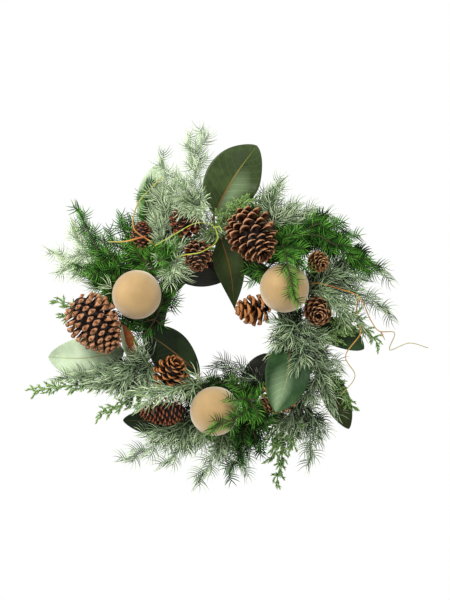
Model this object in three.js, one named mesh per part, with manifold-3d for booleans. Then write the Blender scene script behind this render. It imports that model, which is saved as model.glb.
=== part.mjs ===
// Fir and magnolia wreath. A ring of bent vine canes carries sprays of needles, magnolia
// leaves, velvet balls, pine cones and bare twigs. Millimetres, +Z up, the front faces -Y.
// The origin is the seat on the hook: the inside of the ring at its top.
// Places are written [right, up, forward] from the centre of the ring.

import * as THREE from 'three';
import { mergeVertices } from 'three/addons/utils/BufferGeometryUtils.js';
import Module from 'manifold-3d';

const wasm = await Module();
wasm.setup();

// Ring of vine canes
const RING_RADIUS = 112;
const RING_THICKNESS_RADIUS = 17;
const CANES = 5;
const CANE_GROOVE = 3;
const CANE_TURNS = 2;
const RING_STEPS = 36;
const BACK_DEPTH = 10;
const RING_INSIDE = RING_RADIUS - RING_THICKNESS_RADIUS;

// Fit and clearance
const FOOT_GAP = 0.25;
const BALL_GAP = 0.4;
const STEM_CLEARANCE = 1.1;
const NEEDLE_CLEARANCE = 0.5;
const WALL_CLEARANCE = 1;

// Velvet balls: width, and places beside the ring's centre
const BALL_DIAMETER = 80;
const BALL_DETAIL = 2;
const BALLS = {
  velvet_ball_left: [-140, 55],
  velvet_ball_right: [102, 66],
  velvet_ball_bottom: [-12, -136],
};

// Magnolia leaves
const LEAF_THICKNESS = 1.2;
const LEAF_STALK_RADIUS = 1.7;
const LEAF_END_WIDTH = 3;
const LEAF_STATIONS = [0, 0.13, 0.35, 0.6, 0.84, 1];
const LEAF_STALK_SUNK = 0.06;
const LEAF_COLUMNS = [-1, -0.5, 0, 0.5, 1];
const DARK_LEAF = 0x26402a;
const OLIVE_LEAF = 0x3c4f33;
const BLACK_LEAF = 0x171f18;
const PALE_LEAF = 0x8ea58a;
const LEAVES = {
  leaf_top: {
    rib: [[-13, 190, 10], [20, 250, 20], [58, 302, 8]],
    width: 91, roll: 4, fold: 8, colour: OLIVE_LEAF,
  },
  leaf_hanging: {
    rib: [[-3, 150, 22], [11, 92, 25], [20, 31, 20]],
    width: 53, roll: -6, fold: 14, colour: DARK_LEAF,
  },
  leaf_dark_upper_left: {
    rib: [[-82, 92, 23], [-38, 86, 22], [8, 82, 18]],
    width: 36, roll: 0, fold: 4, colour: BLACK_LEAF,
  },
  leaf_pale_left: {
    rib: [[-176, -32, 2], [-232, -48, 6], [-289, -49, -2]],
    width: 73, roll: 5, fold: 8, colour: PALE_LEAF,
  },
  leaf_lower_left: {
    rib: [[-33, -74, 17], [-82, -38, 20], [-127, -7, 21]],
    width: 63, roll: 0, fold: 1, colour: DARK_LEAF,
  },
  leaf_bottom_left: {
    rib: [[-62, -142, -2], [-112, -154, -3], [-165, -154, -5]],
    width: 46, roll: 0, fold: 3, colour: DARK_LEAF,
  },
  leaf_folded_left: {
    rib: [[-149, -50, 14], [-158, -26, 24], [-165, 6, 26]],
    width: 40, roll: 0, fold: 62, colour: DARK_LEAF,
  },
  leaf_right: {
    rib: [[112, -20, 30], [107, -78, 54], [88, -137, 63]],
    width: 75, roll: 6, fold: 10, colour: DARK_LEAF,
  },
  leaf_right_outer: {
    rib: [[150, 4, 2], [194, -8, 7], [236, -35, 1]],
    width: 48, roll: 0, fold: 8, colour: DARK_LEAF,
  },
  leaf_lower_right: {
    rib: [[166, -66, 1], [190, -118, 5], [211, -168, 0]],
    width: 45, roll: 0, fold: 10, colour: OLIVE_LEAF,
  },
  leaf_dark_lower_right: {
    rib: [[80, -43, 21], [57, -73, 23], [31, -101, 22]],
    width: 40, roll: 0, fold: 4, colour: BLACK_LEAF,
  },
  leaf_pale_upper_left: {
    rib: [[-119, 162, -3], [-118, 218, 0], [-107, 272, -4]],
    width: 48, roll: 0, fold: 8, colour: PALE_LEAF,
  },
};

// Pine cones: the wire that ties each cone to the ring starts inside it, at tie
const CONE_WIRE_RADIUS = 1.2;
const CONE_BROWN = 0x83552f;
const CONE_RED = 0x8b4f33;
const CONE_TAN = 0xa67a4c;
const CONES = {
  cone_left: {
    base: [-243, 50, 38], tip: [-179, -36, 52], radius: 40, rows: 7, around: 8,
    tie: [-205, 12, 40], colour: CONE_BROWN,
  },
  cone_top: {
    base: [30, 182, 34], tip: [69, 119, 84], radius: 41, rows: 7, around: 8,
    tie: [52, 148, 52], colour: CONE_BROWN,
  },
  cone_upper_left_outer: {
    base: [-55, 160, 16], tip: [-66, 190, 50], radius: 26, rows: 5, around: 7,
    tie: [-58, 166, 24], colour: CONE_RED,
  },
  cone_upper_left_inner: {
    base: [-39, 138, 36], tip: [-40, 99, 65], radius: 24, rows: 5, around: 7,
    tie: [-39, 128, 42], colour: CONE_BROWN,
  },
  cone_rosette: {
    base: [-98, -97, 31], tip: [-80, -57, 70], radius: 27, rows: 6, around: 7,
    tie: [-94, -92, 38], colour: CONE_BROWN,
  },
  cone_lying: {
    base: [-58, -135, 29], tip: [-137, -138, 31], radius: 23, rows: 6, around: 7,
    tie: [-80, -136, 28], colour: CONE_BROWN,
  },
  cone_open: {
    base: [80, 31, 18], tip: [31, 29, 25], radius: 25, rows: 5, around: 6,
    tie: [74, 30, 14], colour: CONE_BROWN,
  },
  cone_right: {
    base: [157, 36, 12], tip: [158, 20, 58], radius: 25, rows: 5, around: 7,
    tie: [156, 34, 20], colour: CONE_BROWN,
  },
  cone_behind_leaf: {
    base: [122, -92, 29], tip: [78, -130, 27], radius: 26, rows: 5, around: 7,
    tie: [110, -100, 26], colour: CONE_BROWN,
  },
  small_cone_left: {
    base: [-132, 132, 24], tip: [-132, 174, 34], radius: 15, rows: 5, around: 6,
    tie: [-131, 138, 24], colour: CONE_RED,
  },
  small_cone_right: {
    base: [152, 118, 12], tip: [164, 104, 44], radius: 16, rows: 5, around: 6,
    tie: [153, 116, 16], colour: CONE_TAN,
  },
};

// Scales of a cone, as shares of its radius or of one scale's own cell
const SCALE_CORE = 0.56;
const SCALE_REACH = 0.46;
const SCALE_FILL = 0.44;
const SCALE_BASE_LEAN = -25;
const SCALE_TIP_LEAN = 62;

// Bare twigs: the first route of each starts at the ring, the others fork from it
const TWIG_SIDES = 3;
const TWIG_STEPS_SHARE = 0.5;
const TWIGS = {
  twig_upper_left: {
    radius: 1.3, colour: 0xb8743c,
    routes: [
      [[-96, 116, 22], [-115, 140, 44], [-144, 163, 50], [-139, 203, 34], [-99, 249, 26]],
      [[-128, 150, 48], [-160, 142, 44], [-188, 142, 36]],
    ],
  },
  tendril_top: {
    radius: 1.3, colour: 0xb5b84a,
    routes: [
      [
        [-72, 112, 30], [-69, 117, 56], [-58, 120, 72], [-36, 123, 82], [-13, 137, 68],
        [-7, 148, 58], [-15, 168, 54], [-40, 172, 64], [-80, 152, 58], [-110, 135, 46],
      ],
      [[-14, 166, 54], [-4, 166, 58], [0, 157, 62]],
    ],
  },
  twig_right: {
    radius: 1.4, colour: 0xb06a35,
    routes: [
      [
        [136, 68, 14], [150, 74, 22], [196, 64, 26], [226, 51, 26], [246, 12, 24], [259, -5, 22],
        [285, -8, 20], [277, -36, 18], [310, -25, 16], [341, -33, 14],
      ],
      [[226, 51, 26], [221, 21, 32], [229, -5, 34], [203, -47, 36], [219, -79, 32], [195, -112, 28]],
      [[262, -6, 22], [269, -20, 24]],
    ],
  },
};

// Looks of the needle sprays. Flatness is 1 for needles all round and less for a comb.
const WHORL_LENGTH = 2.4;
const STRAIGHTNESS = 0.75;
const SCRAP_VOLUME = 1;
const FROSTED = {
  needle: 16, lean: 48, spacing: 22, flatness: 0.9, stemRadius: 1.7, colour: 0x93a891,
};
const FIR = {
  needle: 13, lean: 52, spacing: 19.5, flatness: 0.4, stemRadius: 1.7, colour: 0x3c6a30,
};
const CEDAR = {
  needle: 10, lean: 36, spacing: 18, flatness: 0.6, stemRadius: 1.9, colour: 0x5f8a3a,
};
const SAGE = {
  needle: 21, lean: 44, spacing: 20, flatness: 0.8, stemRadius: 1.7, colour: 0xa9bfa4,
};

// Sprays: the first route of each starts at the ring, the others fork from it, and bare is
// the length of stem with no needles at the start of each route
const SPRAYS = {
  frosted_top: {
    look: FROSTED,
    routes: [
      { bare: 40, points: [[-26, 136, 6], [-28, 160, 5], [-38, 200, 10], [-48, 261, 14], [-59, 325, 6]] },
      { bare: 8, points: [[-46, 250, 14], [-36, 290, 18], [-31, 337, 10]] },
      { bare: 10, points: [[-37, 196, 10], [-44, 202, 32], [-50, 207, 60]] },
    ],
  },
  frosted_upper_left: {
    look: FROSTED,
    routes: [
      { bare: 40, points: [[-84, 110, 8], [-92, 150, 10], [-88, 216, 14], [-104, 294, 6]] },
      { bare: 14, points: [[-88, 128, 9], [-92, 164, 26], [-86, 206, 28], [-73, 261, 16]] },
      { bare: 8, points: [[-85, 116, 9], [-88, 106, 32], [-76, 98, 42], [-58, 94, 46]] },
    ],
  },
  frosted_left: {
    look: FROSTED,
    routes: [
      { bare: 50, points: [[-126, 66, -1], [-150, 86, 4], [-185, 109, 8], [-251, 175, 4]] },
      { bare: 36, points: [[-128, 68, -1], [-165, 58, -5], [-201, 66, 0], [-240, 98, 6], [-287, 132, 4]] },
    ],
  },
  frosted_lower_left: {
    look: FROSTED,
    routes: [
      { bare: 20, points: [[-118, -58, 14], [-132, -68, 22], [-200, -78, 26], [-284, -86, 12]] },
      { bare: 8, points: [[-124, -62, 18], [-132, -44, 40], [-143, -20, 52]] },
    ],
  },
  frosted_bottom_left: {
    look: FROSTED,
    routes: [
      { bare: 36, points: [[-44, -136, 4], [-56, -164, 8], [-110, -195, 14], [-172, -224, 6]] },
      { bare: 12, points: [[-50, -150, 6], [-60, -190, 18], [-101, -234, 10]] },
    ],
  },
  frosted_bottom: {
    look: FROSTED,
    routes: [
      { bare: 44, points: [[8, -136, 2], [6, -185, 10], [-20, -225, 16], [-46, -262, 6]] },
      { bare: 14, points: [[7, -160, 6], [28, -190, 10], [36, -218, 12], [36, -248, 8]] },
    ],
  },
  frosted_bottom_right: {
    look: FROSTED,
    routes: [
      {
        bare: 36,
        points: [[100, -88, -3], [124, -108, -4], [138, -132, 4], [146, -180, 12], [147, -234, 8]],
      },
      { bare: 8, points: [[138, -140, 5], [124, -166, 14], [109, -201, 10]] },
    ],
  },
  frosted_right: {
    look: FROSTED,
    routes: [
      { bare: 14, points: [[118, 10, 26], [136, -22, 34], [165, -80, 36], [191, -152, 22]] },
      { bare: 8, points: [[124, -2, 28], [98, -18, 40], [74, -45, 38]] },
      { bare: 8, points: [[138, -26, 34], [166, -44, 34], [203, -73, 26]] },
    ],
  },
  frosted_far_right: {
    look: FROSTED,
    routes: [
      { bare: 40, points: [[132, 58, -2], [165, 74, 2], [203, 66, 12], [250, 46, 14], [287, 16, 8]] },
      { bare: 20, points: [[152, 68, 0], [190, 100, 6], [236, 106, 10], [284, 82, 6]] },
    ],
  },
  frosted_upper_right: {
    look: FROSTED,
    routes: [
      { bare: 50, points: [[62, 124, 2], [74, 160, 2], [90, 186, 12], [140, 194, 18], [198, 176, 10]] },
      { bare: 26, points: [[70, 150, 2], [62, 180, 0], [74, 220, 6], [105, 249, 4]] },
    ],
  },
  frosted_inside_bottom: {
    look: FROSTED,
    routes: [
      { bare: 16, points: [[63, -108, 24], [60, -88, 38], [20, -66, 34], [-23, -60, 28]] },
    ],
  },
  fir_upper_left: {
    look: FIR,
    routes: [
      { bare: 30, points: [[-98, 100, 0], [-116, 136, 4], [-128, 180, 9], [-124, 244, 6]] },
      { bare: 10, points: [[-106, 112, 1], [-146, 134, 10], [-173, 190, 8]] },
    ],
  },
  fir_left: {
    look: FIR,
    routes: [
      { bare: 30, points: [[-132, 42, -3], [-156, 54, 2], [-178, 74, 6], [-206, 130, 14], [-243, 208, 8]] },
      { bare: 12, points: [[-176, 72, 6], [-196, 88, 22], [-240, 104, 26]] },
    ],
  },
  fir_over_ball: {
    look: FIR,
    routes: [
      { bare: 14, points: [[-112, 84, 14], [-124, 110, 30], [-100, 130, 40], [-63, 140, 42]] },
    ],
  },
  fir_inside_left: {
    look: FIR,
    routes: [
      { bare: 6, points: [[-110, 14, 26], [-102, 30, 32], [-88, 48, 30], [-68, 70, 28]] },
    ],
  },
  fir_bottom: {
    look: FIR,
    routes: [
      { bare: 24, points: [[48, -124, 14], [46, -160, 20], [28, -206, 22], [7, -252, 14]] },
      { bare: 10, points: [[48, -134, 16], [60, -164, 12], [59, -210, 8]] },
    ],
  },
  fir_over_bottom_ball: {
    look: FIR,
    routes: [
      {
        bare: 26,
        points: [[40, -106, 26], [46, -120, 50], [28, -142, 82], [-4, -156, 97], [-26, -166, 96]],
      },
      { bare: 6, points: [[46, -120, 50], [36, -114, 74], [8, -118, 94]] },
    ],
  },
  fir_right: {
    look: FIR,
    routes: [
      { bare: 40, points: [[84, 108, 10], [102, 142, 16], [150, 158, 28], [206, 136, 28], [262, 96, 16]] },
      { bare: 10, points: [[126, 154, 24], [164, 172, 38], [228, 146, 34]] },
    ],
  },
  fir_top: {
    look: FIR,
    routes: [
      { bare: 44, points: [[44, 136, -3], [48, 170, 0], [64, 198, 14], [97, 230, 16]] },
    ],
  },
  fir_over_right_ball: {
    look: FIR,
    routes: [
      { bare: 24, points: [[80, 116, 22], [98, 136, 54], [104, 112, 92], [112, 76, 106], [121, 36, 98]] },
      { bare: 10, points: [[98, 136, 54], [124, 132, 66], [148, 84, 54]] },
    ],
  },
  fir_below_top_cone: {
    look: FIR,
    routes: [
      { bare: 4, points: [[73, 98, 26], [66, 91, 35], [47, 71, 33]] },
    ],
  },
  fir_inside_bottom: {
    look: FIR,
    routes: [
      { bare: 4, points: [[24, -104, 26], [8, -92, 30], [-44, -90, 28]] },
    ],
  },
  cedar_left: {
    look: CEDAR,
    routes: [
      { bare: 90, points: [[-134, -4, 0], [-190, 2, -4], [-236, 26, -2], [-260, 38, 6], [-284, 47, 6]] },
      { bare: 6, points: [[-240, 28, -1], [-258, 22, 6], [-276, 16, 6]] },
    ],
  },
  cedar_lower_left: {
    look: CEDAR,
    routes: [
      { bare: 110, points: [[-106, -86, 0], [-160, -96, 4], [-251, -96, 12], [-327, -107, 6]] },
      { bare: 24, points: [[-120, -90, 1], [-160, -124, 2], [-214, -150, 4]] },
    ],
  },
  cedar_bottom_right: {
    look: CEDAR,
    routes: [
      { bare: 48, points: [[84, -106, -4], [97, -146, -4], [102, -180, 5], [98, -222, 9], [88, -267, 5]] },
    ],
  },
  cedar_right: {
    look: CEDAR,
    routes: [
      { bare: 30, points: [[126, -46, 8], [152, -60, 12], [184, -84, 16], [223, -140, 10]] },
    ],
  },
  cedar_far_right: {
    look: CEDAR,
    routes: [
      { bare: 70, points: [[134, -10, 10], [176, -14, 16], [228, 2, 18], [264, -33, 12]] },
    ],
  },
  cedar_top: {
    look: CEDAR,
    routes: [
      { bare: 30, points: [[10, 138, 8], [10, 165, 14], [22, 190, 26], [40, 214, 28]] },
    ],
  },
  sage_lower_left: {
    look: SAGE,
    routes: [
      { bare: 10, points: [[-30, -104, 26], [-46, -92, 44], [-92, -100, 72], [-165, -107, 50]] },
      { bare: 8, points: [[-96, -101, 72], [-120, -114, 66], [-144, -132, 58]] },
    ],
  },
  sage_right: {
    look: SAGE,
    routes: [
      { bare: 24, points: [[124, 44, 14], [140, 60, 26], [166, 58, 46], [208, 24, 44], [248, -12, 26]] },
    ],
  },
};

// Surface samples: how finely a stem's route is tested against what is already placed
const STEM_STEP = 7;
const STEM_ROUNDS = 40;
const NEEDLE_STEP = 1.5;
const SHORTEST_NEEDLE = 4;
const CELL = 14;
const CELL_REACH = 7;

// Place on the wreath, as a point in the part's own frame
function place([right, up, forward]) {
  return new THREE.Vector3(right, -forward, up - RING_INSIDE);
}

function seededRandom(seed) {
  let state = seed * 7919 + 17;
  return () => {
    state = (state * 1664525 + 1013904223) % 4294967296;
    return state / 4294967296;
  };
}

function geometryFrom(vertices, triangles) {
  const geometry = new THREE.BufferGeometry();
  const positions = vertices.flatMap((vertex) => [vertex.x, vertex.y, vertex.z]);
  geometry.setAttribute('position', new THREE.Float32BufferAttribute(positions, 3));
  geometry.setIndex(triangles.flat());
  return geometry;
}

// A closed geometry as a solid, its faces turned outwards
function solidFrom(geometry) {
  const bare = geometry.clone();
  bare.deleteAttribute('normal');
  bare.deleteAttribute('uv');
  const merged = mergeVertices(bare, 1e-4);
  const vertProperties = new Float32Array(merged.attributes.position.array);
  const triVerts = new Uint32Array(merged.index.array);
  if (signedVolume(vertProperties, triVerts) < 0) {
    triVerts.reverse();
  }
  return new wasm.Manifold(new wasm.Mesh({ numProp: 3, vertProperties, triVerts }));
}

function signedVolume(positions, triangles) {
  const corner = (index) => new THREE.Vector3().fromArray(positions, triangles[index] * 3);
  let volume = 0;
  for (let index = 0; index < triangles.length; index += 3) {
    volume += corner(index).dot(corner(index + 1).cross(corner(index + 2))) / 6;
  }
  return volume;
}

function geometryOf(solid) {
  const mesh = solid.getMesh();
  const geometry = new THREE.BufferGeometry();
  const positions = new Float32Array(mesh.numVert * 3);
  for (let vertex = 0; vertex < mesh.numVert; vertex += 1) {
    for (let axis = 0; axis < 3; axis += 1) {
      positions[vertex * 3 + axis] = mesh.vertProperties[vertex * mesh.numProp + axis];
    }
  }
  geometry.setAttribute('position', new THREE.BufferAttribute(positions, 3));
  geometry.setIndex(new THREE.BufferAttribute(new Uint32Array(mesh.triVerts), 1));
  return geometry;
}

// Several solids as one body, with any sealed bubble or loose scrap left out
function joined(geometries) {
  const solids = geometries.map(solidFrom);
  const bodies = solids.reduce((whole, next) => whole.add(next)).decompose();
  bodies.sort((one, other) => other.volume() - one.volume());
  if (bodies.length > 1 && bodies[1].volume() > SCRAP_VOLUME) {
    throw new Error('a branch is loose from its piece');
  }
  return geometryOf(bodies[0]);
}

// Triangles already placed, kept by cell so that the nearest one is found quickly
class Surroundings {
  constructor() {
    this.cells = new Map();
  }

  add(geometry, owner) {
    const positions = geometry.attributes.position;
    const count = geometry.index ? geometry.index.count : positions.count;
    for (let first = 0; first < count; first += 3) {
      const corners = [0, 1, 2].map((offset) => {
        const index = geometry.index ? geometry.index.getX(first + offset) : first + offset;
        return new THREE.Vector3().fromBufferAttribute(positions, index);
      });
      this.addTriangle(new THREE.Triangle(...corners), owner);
    }
  }

  addTriangle(triangle, owner) {
    const box = new THREE.Box3().setFromPoints([triangle.a, triangle.b, triangle.c]);
    box.expandByScalar(CELL_REACH);
    const low = box.min.divideScalar(CELL).floor();
    const high = box.max.divideScalar(CELL).floor();
    for (let x = low.x; x <= high.x; x += 1) {
      for (let y = low.y; y <= high.y; y += 1) {
        for (let z = low.z; z <= high.z; z += 1) {
          const key = `${x},${y},${z}`;
          if (!this.cells.has(key)) {
            this.cells.set(key, []);
          }
          this.cells.get(key).push({ triangle, owner });
        }
      }
    }
  }

  // The nearest placed point within reach of a point, apart from those of one owner
  nearest(point, ignored) {
    const key = [point.x, point.y, point.z].map((value) => Math.floor(value / CELL)).join(',');
    const found = { distance: CELL_REACH, at: null };
    const candidate = new THREE.Vector3();
    for (const entry of this.cells.get(key) ?? []) {
      if (entry.owner !== ignored) {
        entry.triangle.closestPointToPoint(point, candidate);
        const distance = candidate.distanceTo(point);
        if (distance < found.distance) {
          found.distance = distance;
          found.at = candidate.clone();
        }
      }
    }
    return found;
  }
}

const placed = new Surroundings();
const ringSurface = new Surroundings();
const wreath = new THREE.Group();

function addPiece(name, geometry, colour, roughness) {
  const material = new THREE.MeshStandardMaterial({ color: colour, roughness, metalness: 0 });
  const mesh = new THREE.Mesh(geometry, material);
  mesh.name = name;
  wreath.add(mesh);
}

// Ring: a torus whose surface rises and falls over the twisted canes, flat at the back
function ringGeometry() {
  const sides = CANES * 2;
  const torus = new THREE.TorusGeometry(RING_RADIUS, 1, sides, RING_STEPS);
  const positions = torus.attributes.position;
  for (let index = 0; index < positions.count; index += 1) {
    const around = Math.atan2(positions.getY(index), positions.getX(index));
    const outward = Math.hypot(positions.getX(index), positions.getY(index)) - RING_RADIUS;
    const side = Math.round(Math.atan2(positions.getZ(index), outward) / (Math.PI * 2 / sides));
    const onGroove = Math.abs(side % 2) === 1;
    const radius = onGroove ? RING_THICKNESS_RADIUS - CANE_GROOVE : RING_THICKNESS_RADIUS;
    const turn = side * Math.PI * 2 / sides + around * CANE_TURNS;
    const reach = RING_RADIUS + radius * Math.cos(turn);
    const forward = Math.max(radius * Math.sin(turn), -BACK_DEPTH);
    const vertex = place([reach * Math.cos(around), reach * Math.sin(around), forward]);
    positions.setXYZ(index, vertex.x, vertex.y, vertex.z);
  }
  return geometryOf(solidFrom(torus));
}

// The end of a stem at the ring: it runs from a point to the canes and stops just clear
function footOnRing(from, radius) {
  const centre = place([0, 0, 0]);
  const outward = new THREE.Vector3(from.x - centre.x, 0, from.z - centre.z).setLength(RING_RADIUS);
  const core = centre.clone().add(outward);
  const direction = core.clone().sub(from).normalize();
  const side = new THREE.Vector3(0, 1, 0).cross(direction).normalize();
  const other = direction.clone().cross(side);
  const foot = from.clone();
  const step = 0.1;
  for (let walked = 0; walked < from.distanceTo(core); walked += step) {
    const next = foot.clone().addScaledVector(direction, step);
    const rim = [0, 1, 2, 3, 4, 5].map((corner) => {
      const angle = corner * Math.PI / 3;
      const point = next.clone().addScaledVector(side, radius * Math.cos(angle));
      return point.addScaledVector(other, radius * Math.sin(angle));
    });
    const gaps = [next, ...rim].map((point) => ringSurface.nearest(point, null).distance);
    if (Math.min(...gaps) < FOOT_GAP) {
      break;
    }
    foot.copy(next);
  }
  return foot;
}

function tubeAlong(points, radius, sides, steps) {
  const outline = new THREE.Shape();
  for (let corner = 0; corner < sides; corner += 1) {
    const angle = corner * Math.PI * 2 / sides;
    const [across, up] = [radius * Math.cos(angle), radius * Math.sin(angle)];
    if (corner === 0) {
      outline.moveTo(across, up);
    } else {
      outline.lineTo(across, up);
    }
  }
  const path = new THREE.CatmullRomCurve3(points, false, 'centripetal');
  return new THREE.ExtrudeGeometry(outline, { steps, extrudePath: path, bevelEnabled: false });
}

// Ball: it sits on the canes, as far forward as it must to clear them
function ballGeometry([right, up], ring) {
  const hoop = solidFrom(ring);
  const ballAt = (forward) => {
    const ball = new THREE.IcosahedronGeometry(BALL_DIAMETER / 2, BALL_DETAIL);
    const centre = place([right, up, forward]);
    ball.translate(centre.x, centre.y, centre.z);
    return solidFrom(ball);
  };
  let forward = BALL_DIAMETER;
  while (ballAt(forward).intersect(hoop).isEmpty()) {
    forward -= BALL_GAP / 2;
  }
  return geometryOf(ballAt(forward + BALL_GAP));
}

// Leaf: a blade round its rib, then a stalk from its base to the ring
function leafGeometry(leaf) {
  const rib = new THREE.CatmullRomCurve3(leaf.rib.map(place), false, 'centripetal');
  const outline = (share) => Math.sin(Math.PI * share ** 0.9) ** 0.7;
  const fold = THREE.MathUtils.degToRad(leaf.fold);
  const half = (share) => Math.max(leaf.width * outline(share), LEAF_END_WIDTH) / 2;
  const vertices = [];
  for (const share of LEAF_STATIONS) {
    const tangent = rib.getTangentAt(share);
    const across = new THREE.Vector3(0, -1, 0).cross(tangent).normalize();
    across.applyAxisAngle(tangent, THREE.MathUtils.degToRad(leaf.roll));
    const outwards = tangent.clone().cross(across).normalize();
    const width = half(Math.min(share, 0.985));
    for (const column of LEAF_COLUMNS) {
      const point = rib.getPointAt(share);
      point.addScaledVector(across, column * width * Math.cos(fold));
      point.addScaledVector(outwards, Math.abs(column) * width * Math.sin(fold));
      vertices.push(point.clone().addScaledVector(outwards, LEAF_THICKNESS / 2));
      vertices.push(point.clone().addScaledVector(outwards, -LEAF_THICKNESS / 2));
    }
  }
  const blade = geometryFrom(vertices, sheetTriangles(LEAF_STATIONS.length, LEAF_COLUMNS.length));
  const start = rib.getPointAt(0);
  const sunk = rib.getPointAt(LEAF_STALK_SUNK);
  const foot = footOnRing(start, LEAF_STALK_RADIUS);
  const stalk = tubeAlong([foot, start, sunk], LEAF_STALK_RADIUS, 3, 3);
  return joined([blade, stalk]);
}

// Triangles of a thin sheet whose two faces are split alike
function sheetTriangles(rows, columns) {
  const front = (row, column) => (row * columns + column) * 2;
  const back = (row, column) => front(row, column) + 1;
  const triangles = [];
  const quad = (a, b, c, d) => triangles.push([a, b, c], [a, c, d]);
  for (let row = 0; row < rows - 1; row += 1) {
    for (let column = 0; column < columns - 1; column += 1) {
      const corners = [[row, column], [row, column + 1], [row + 1, column + 1], [row + 1, column]];
      quad(...corners.map((corner) => front(...corner)));
      const [a, b, c, d] = corners.map((corner) => back(...corner));
      triangles.push([a, c, b], [a, d, c]);
    }
    quad(front(row, 0), front(row + 1, 0), back(row + 1, 0), back(row, 0));
    const last = columns - 1;
    quad(back(row, last), back(row + 1, last), front(row + 1, last), front(row, last));
  }
  for (let column = 0; column < columns - 1; column += 1) {
    quad(front(0, column + 1), front(0, column), back(0, column), back(0, column + 1));
    const end = rows - 1;
    quad(front(end, column), front(end, column + 1), back(end, column + 1), back(end, column));
  }
  return triangles;
}

// Cone: rows of staggered cells round the axis, and each cell is drawn out to a scale
function coneGeometry(cone) {
  const base = place(cone.base);
  const axis = place(cone.tip).sub(base);
  const length = axis.length();
  axis.normalize();
  const reference = Math.abs(axis.x) < 0.8 ? new THREE.Vector3(1, 0, 0) : new THREE.Vector3(0, 0, 1);
  const right = reference.cross(axis).normalize();
  const up = axis.clone().cross(right);
  const swell = (share) => Math.sin(Math.PI * (0.14 + 0.78 * share ** 0.85)) ** 0.85;
  const radial = (angle) => {
    return right.clone().multiplyScalar(Math.cos(angle)).addScaledVector(up, Math.sin(angle));
  };
  const vertices = [base.clone().addScaledVector(axis, length * 0.04)];
  const triangles = [];
  const pitch = Math.PI * 2 / cone.around;
  for (let row = 0; row < cone.rows; row += 1) {
    const share = row / (cone.rows - 1);
    const along = length * (0.12 + 0.76 * share);
    for (let column = 0; column < cone.around; column += 1) {
      const angle = pitch * (column + row / 2);
      const vertex = base.clone().addScaledVector(axis, along);
      vertices.push(vertex.addScaledVector(radial(angle), cone.radius * SCALE_CORE * swell(share)));
    }
  }
  vertices.push(base.clone().addScaledVector(axis, length * 0.94));
  const tipIndex = vertices.length - 1;
  const lattice = (row, column) => {
    if (row < 0) {
      return 0;
    }
    if (row >= cone.rows) {
      return tipIndex;
    }
    const wrapped = (column + cone.around) % cone.around;
    return 1 + row * cone.around + wrapped;
  };
  for (let row = 0; row < cone.rows; row += 1) {
    const share = row / (cone.rows - 1);
    const lean = THREE.MathUtils.degToRad(
      THREE.MathUtils.lerp(SCALE_BASE_LEAN, SCALE_TIP_LEAN, share),
    );
    for (let column = 0; column < cone.around; column += 1) {
      const angle = pitch * (column + 0.5 + row / 2);
      const outward = radial(angle);
      const sideways = radial(angle + Math.PI / 2);
      const reach = outward.clone().multiplyScalar(Math.cos(lean));
      reach.addScaledVector(axis, Math.sin(lean));
      const slope = axis.clone().multiplyScalar(Math.cos(lean));
      slope.addScaledVector(outward, -Math.sin(lean));
      const centre = base.clone().addScaledVector(axis, length * (0.12 + 0.76 * share));
      centre.addScaledVector(outward, cone.radius * SCALE_CORE * swell(share));
      centre.addScaledVector(reach, cone.radius * SCALE_REACH * (0.55 + 0.45 * swell(share)));
      const radius = centre.clone().sub(base).projectOnPlane(axis).length();
      const halfWidth = SCALE_FILL * radius * pitch;
      const halfHeight = SCALE_FILL * length * 0.9 / cone.rows;
      const first = vertices.length;
      vertices.push(centre.clone().addScaledVector(sideways, -halfWidth));
      vertices.push(centre.clone().addScaledVector(slope, -halfHeight));
      vertices.push(centre.clone().addScaledVector(sideways, halfWidth));
      vertices.push(centre.clone().addScaledVector(slope, halfHeight).addScaledVector(reach, 1));
      const below = lattice(row - 1, column + 1);
      const above = lattice(row + 1, column);
      const rim = [lattice(row, column), below, lattice(row, column + 1), above];
      triangles.push([first, first + 1, first + 2], [first, first + 2, first + 3]);
      for (let corner = 0; corner < 4; corner += 1) {
        const next = (corner + 1) % 4;
        triangles.push([rim[corner], rim[next], first + next]);
        triangles.push([rim[corner], first + next, first + corner]);
      }
    }
  }
  const tie = place(cone.tie);
  const foot = footOnRing(tie, CONE_WIRE_RADIUS);
  const wire = tubeAlong([foot, tie], CONE_WIRE_RADIUS, 4, 1);
  return joined([geometryFrom(vertices, triangles), wire]);
}

// A stem's route, moved aside where it would run into what is already placed
function clearRoute(points, radius, owner) {
  const nominal = new THREE.CatmullRomCurve3(points, false, 'centripetal');
  const steps = Math.max(3, Math.round(nominal.getLength() / STEM_STEP));
  const stations = nominal.getSpacedPoints(steps);
  const wanted = radius + STEM_CLEARANCE;
  for (let round = 0; round < STEM_ROUNDS; round += 1) {
    for (let index = 2; index < stations.length; index += 1) {
      const { distance, at } = placed.nearest(stations[index], owner);
      if (at && distance < wanted) {
        const away = stations[index].clone().sub(at).normalize();
        for (let spread = -2; spread <= 2; spread += 1) {
          const neighbour = stations[index + spread];
          if (neighbour && index + spread >= 1) {
            const share = 0.7 * (1 - Math.abs(spread) / 3);
            neighbour.addScaledVector(away, share * (wanted - distance));
          }
        }
      }
      stations[index].y = Math.min(stations[index].y, BACK_DEPTH - radius - WALL_CLEARANCE);
    }
  }
  return stations;
}

function nearestStation(stations, point) {
  return stations.reduce((best, station) => {
    return station.distanceTo(point) < best.distanceTo(point) ? station : best;
  });
}

// Routes of a piece that grows from the ring: the first has a foot there, the rest fork
function settledRoutes(name, routes, radius) {
  const settled = [];
  for (const points of routes) {
    const route = points.map(place);
    if (settled.length === 0) {
      route.unshift(footOnRing(route[0], radius));
    } else {
      route[0] = nearestStation(settled[0], route[0]).clone();
    }
    settled.push(clearRoute(route, radius, name));
  }
  return settled;
}

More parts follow.
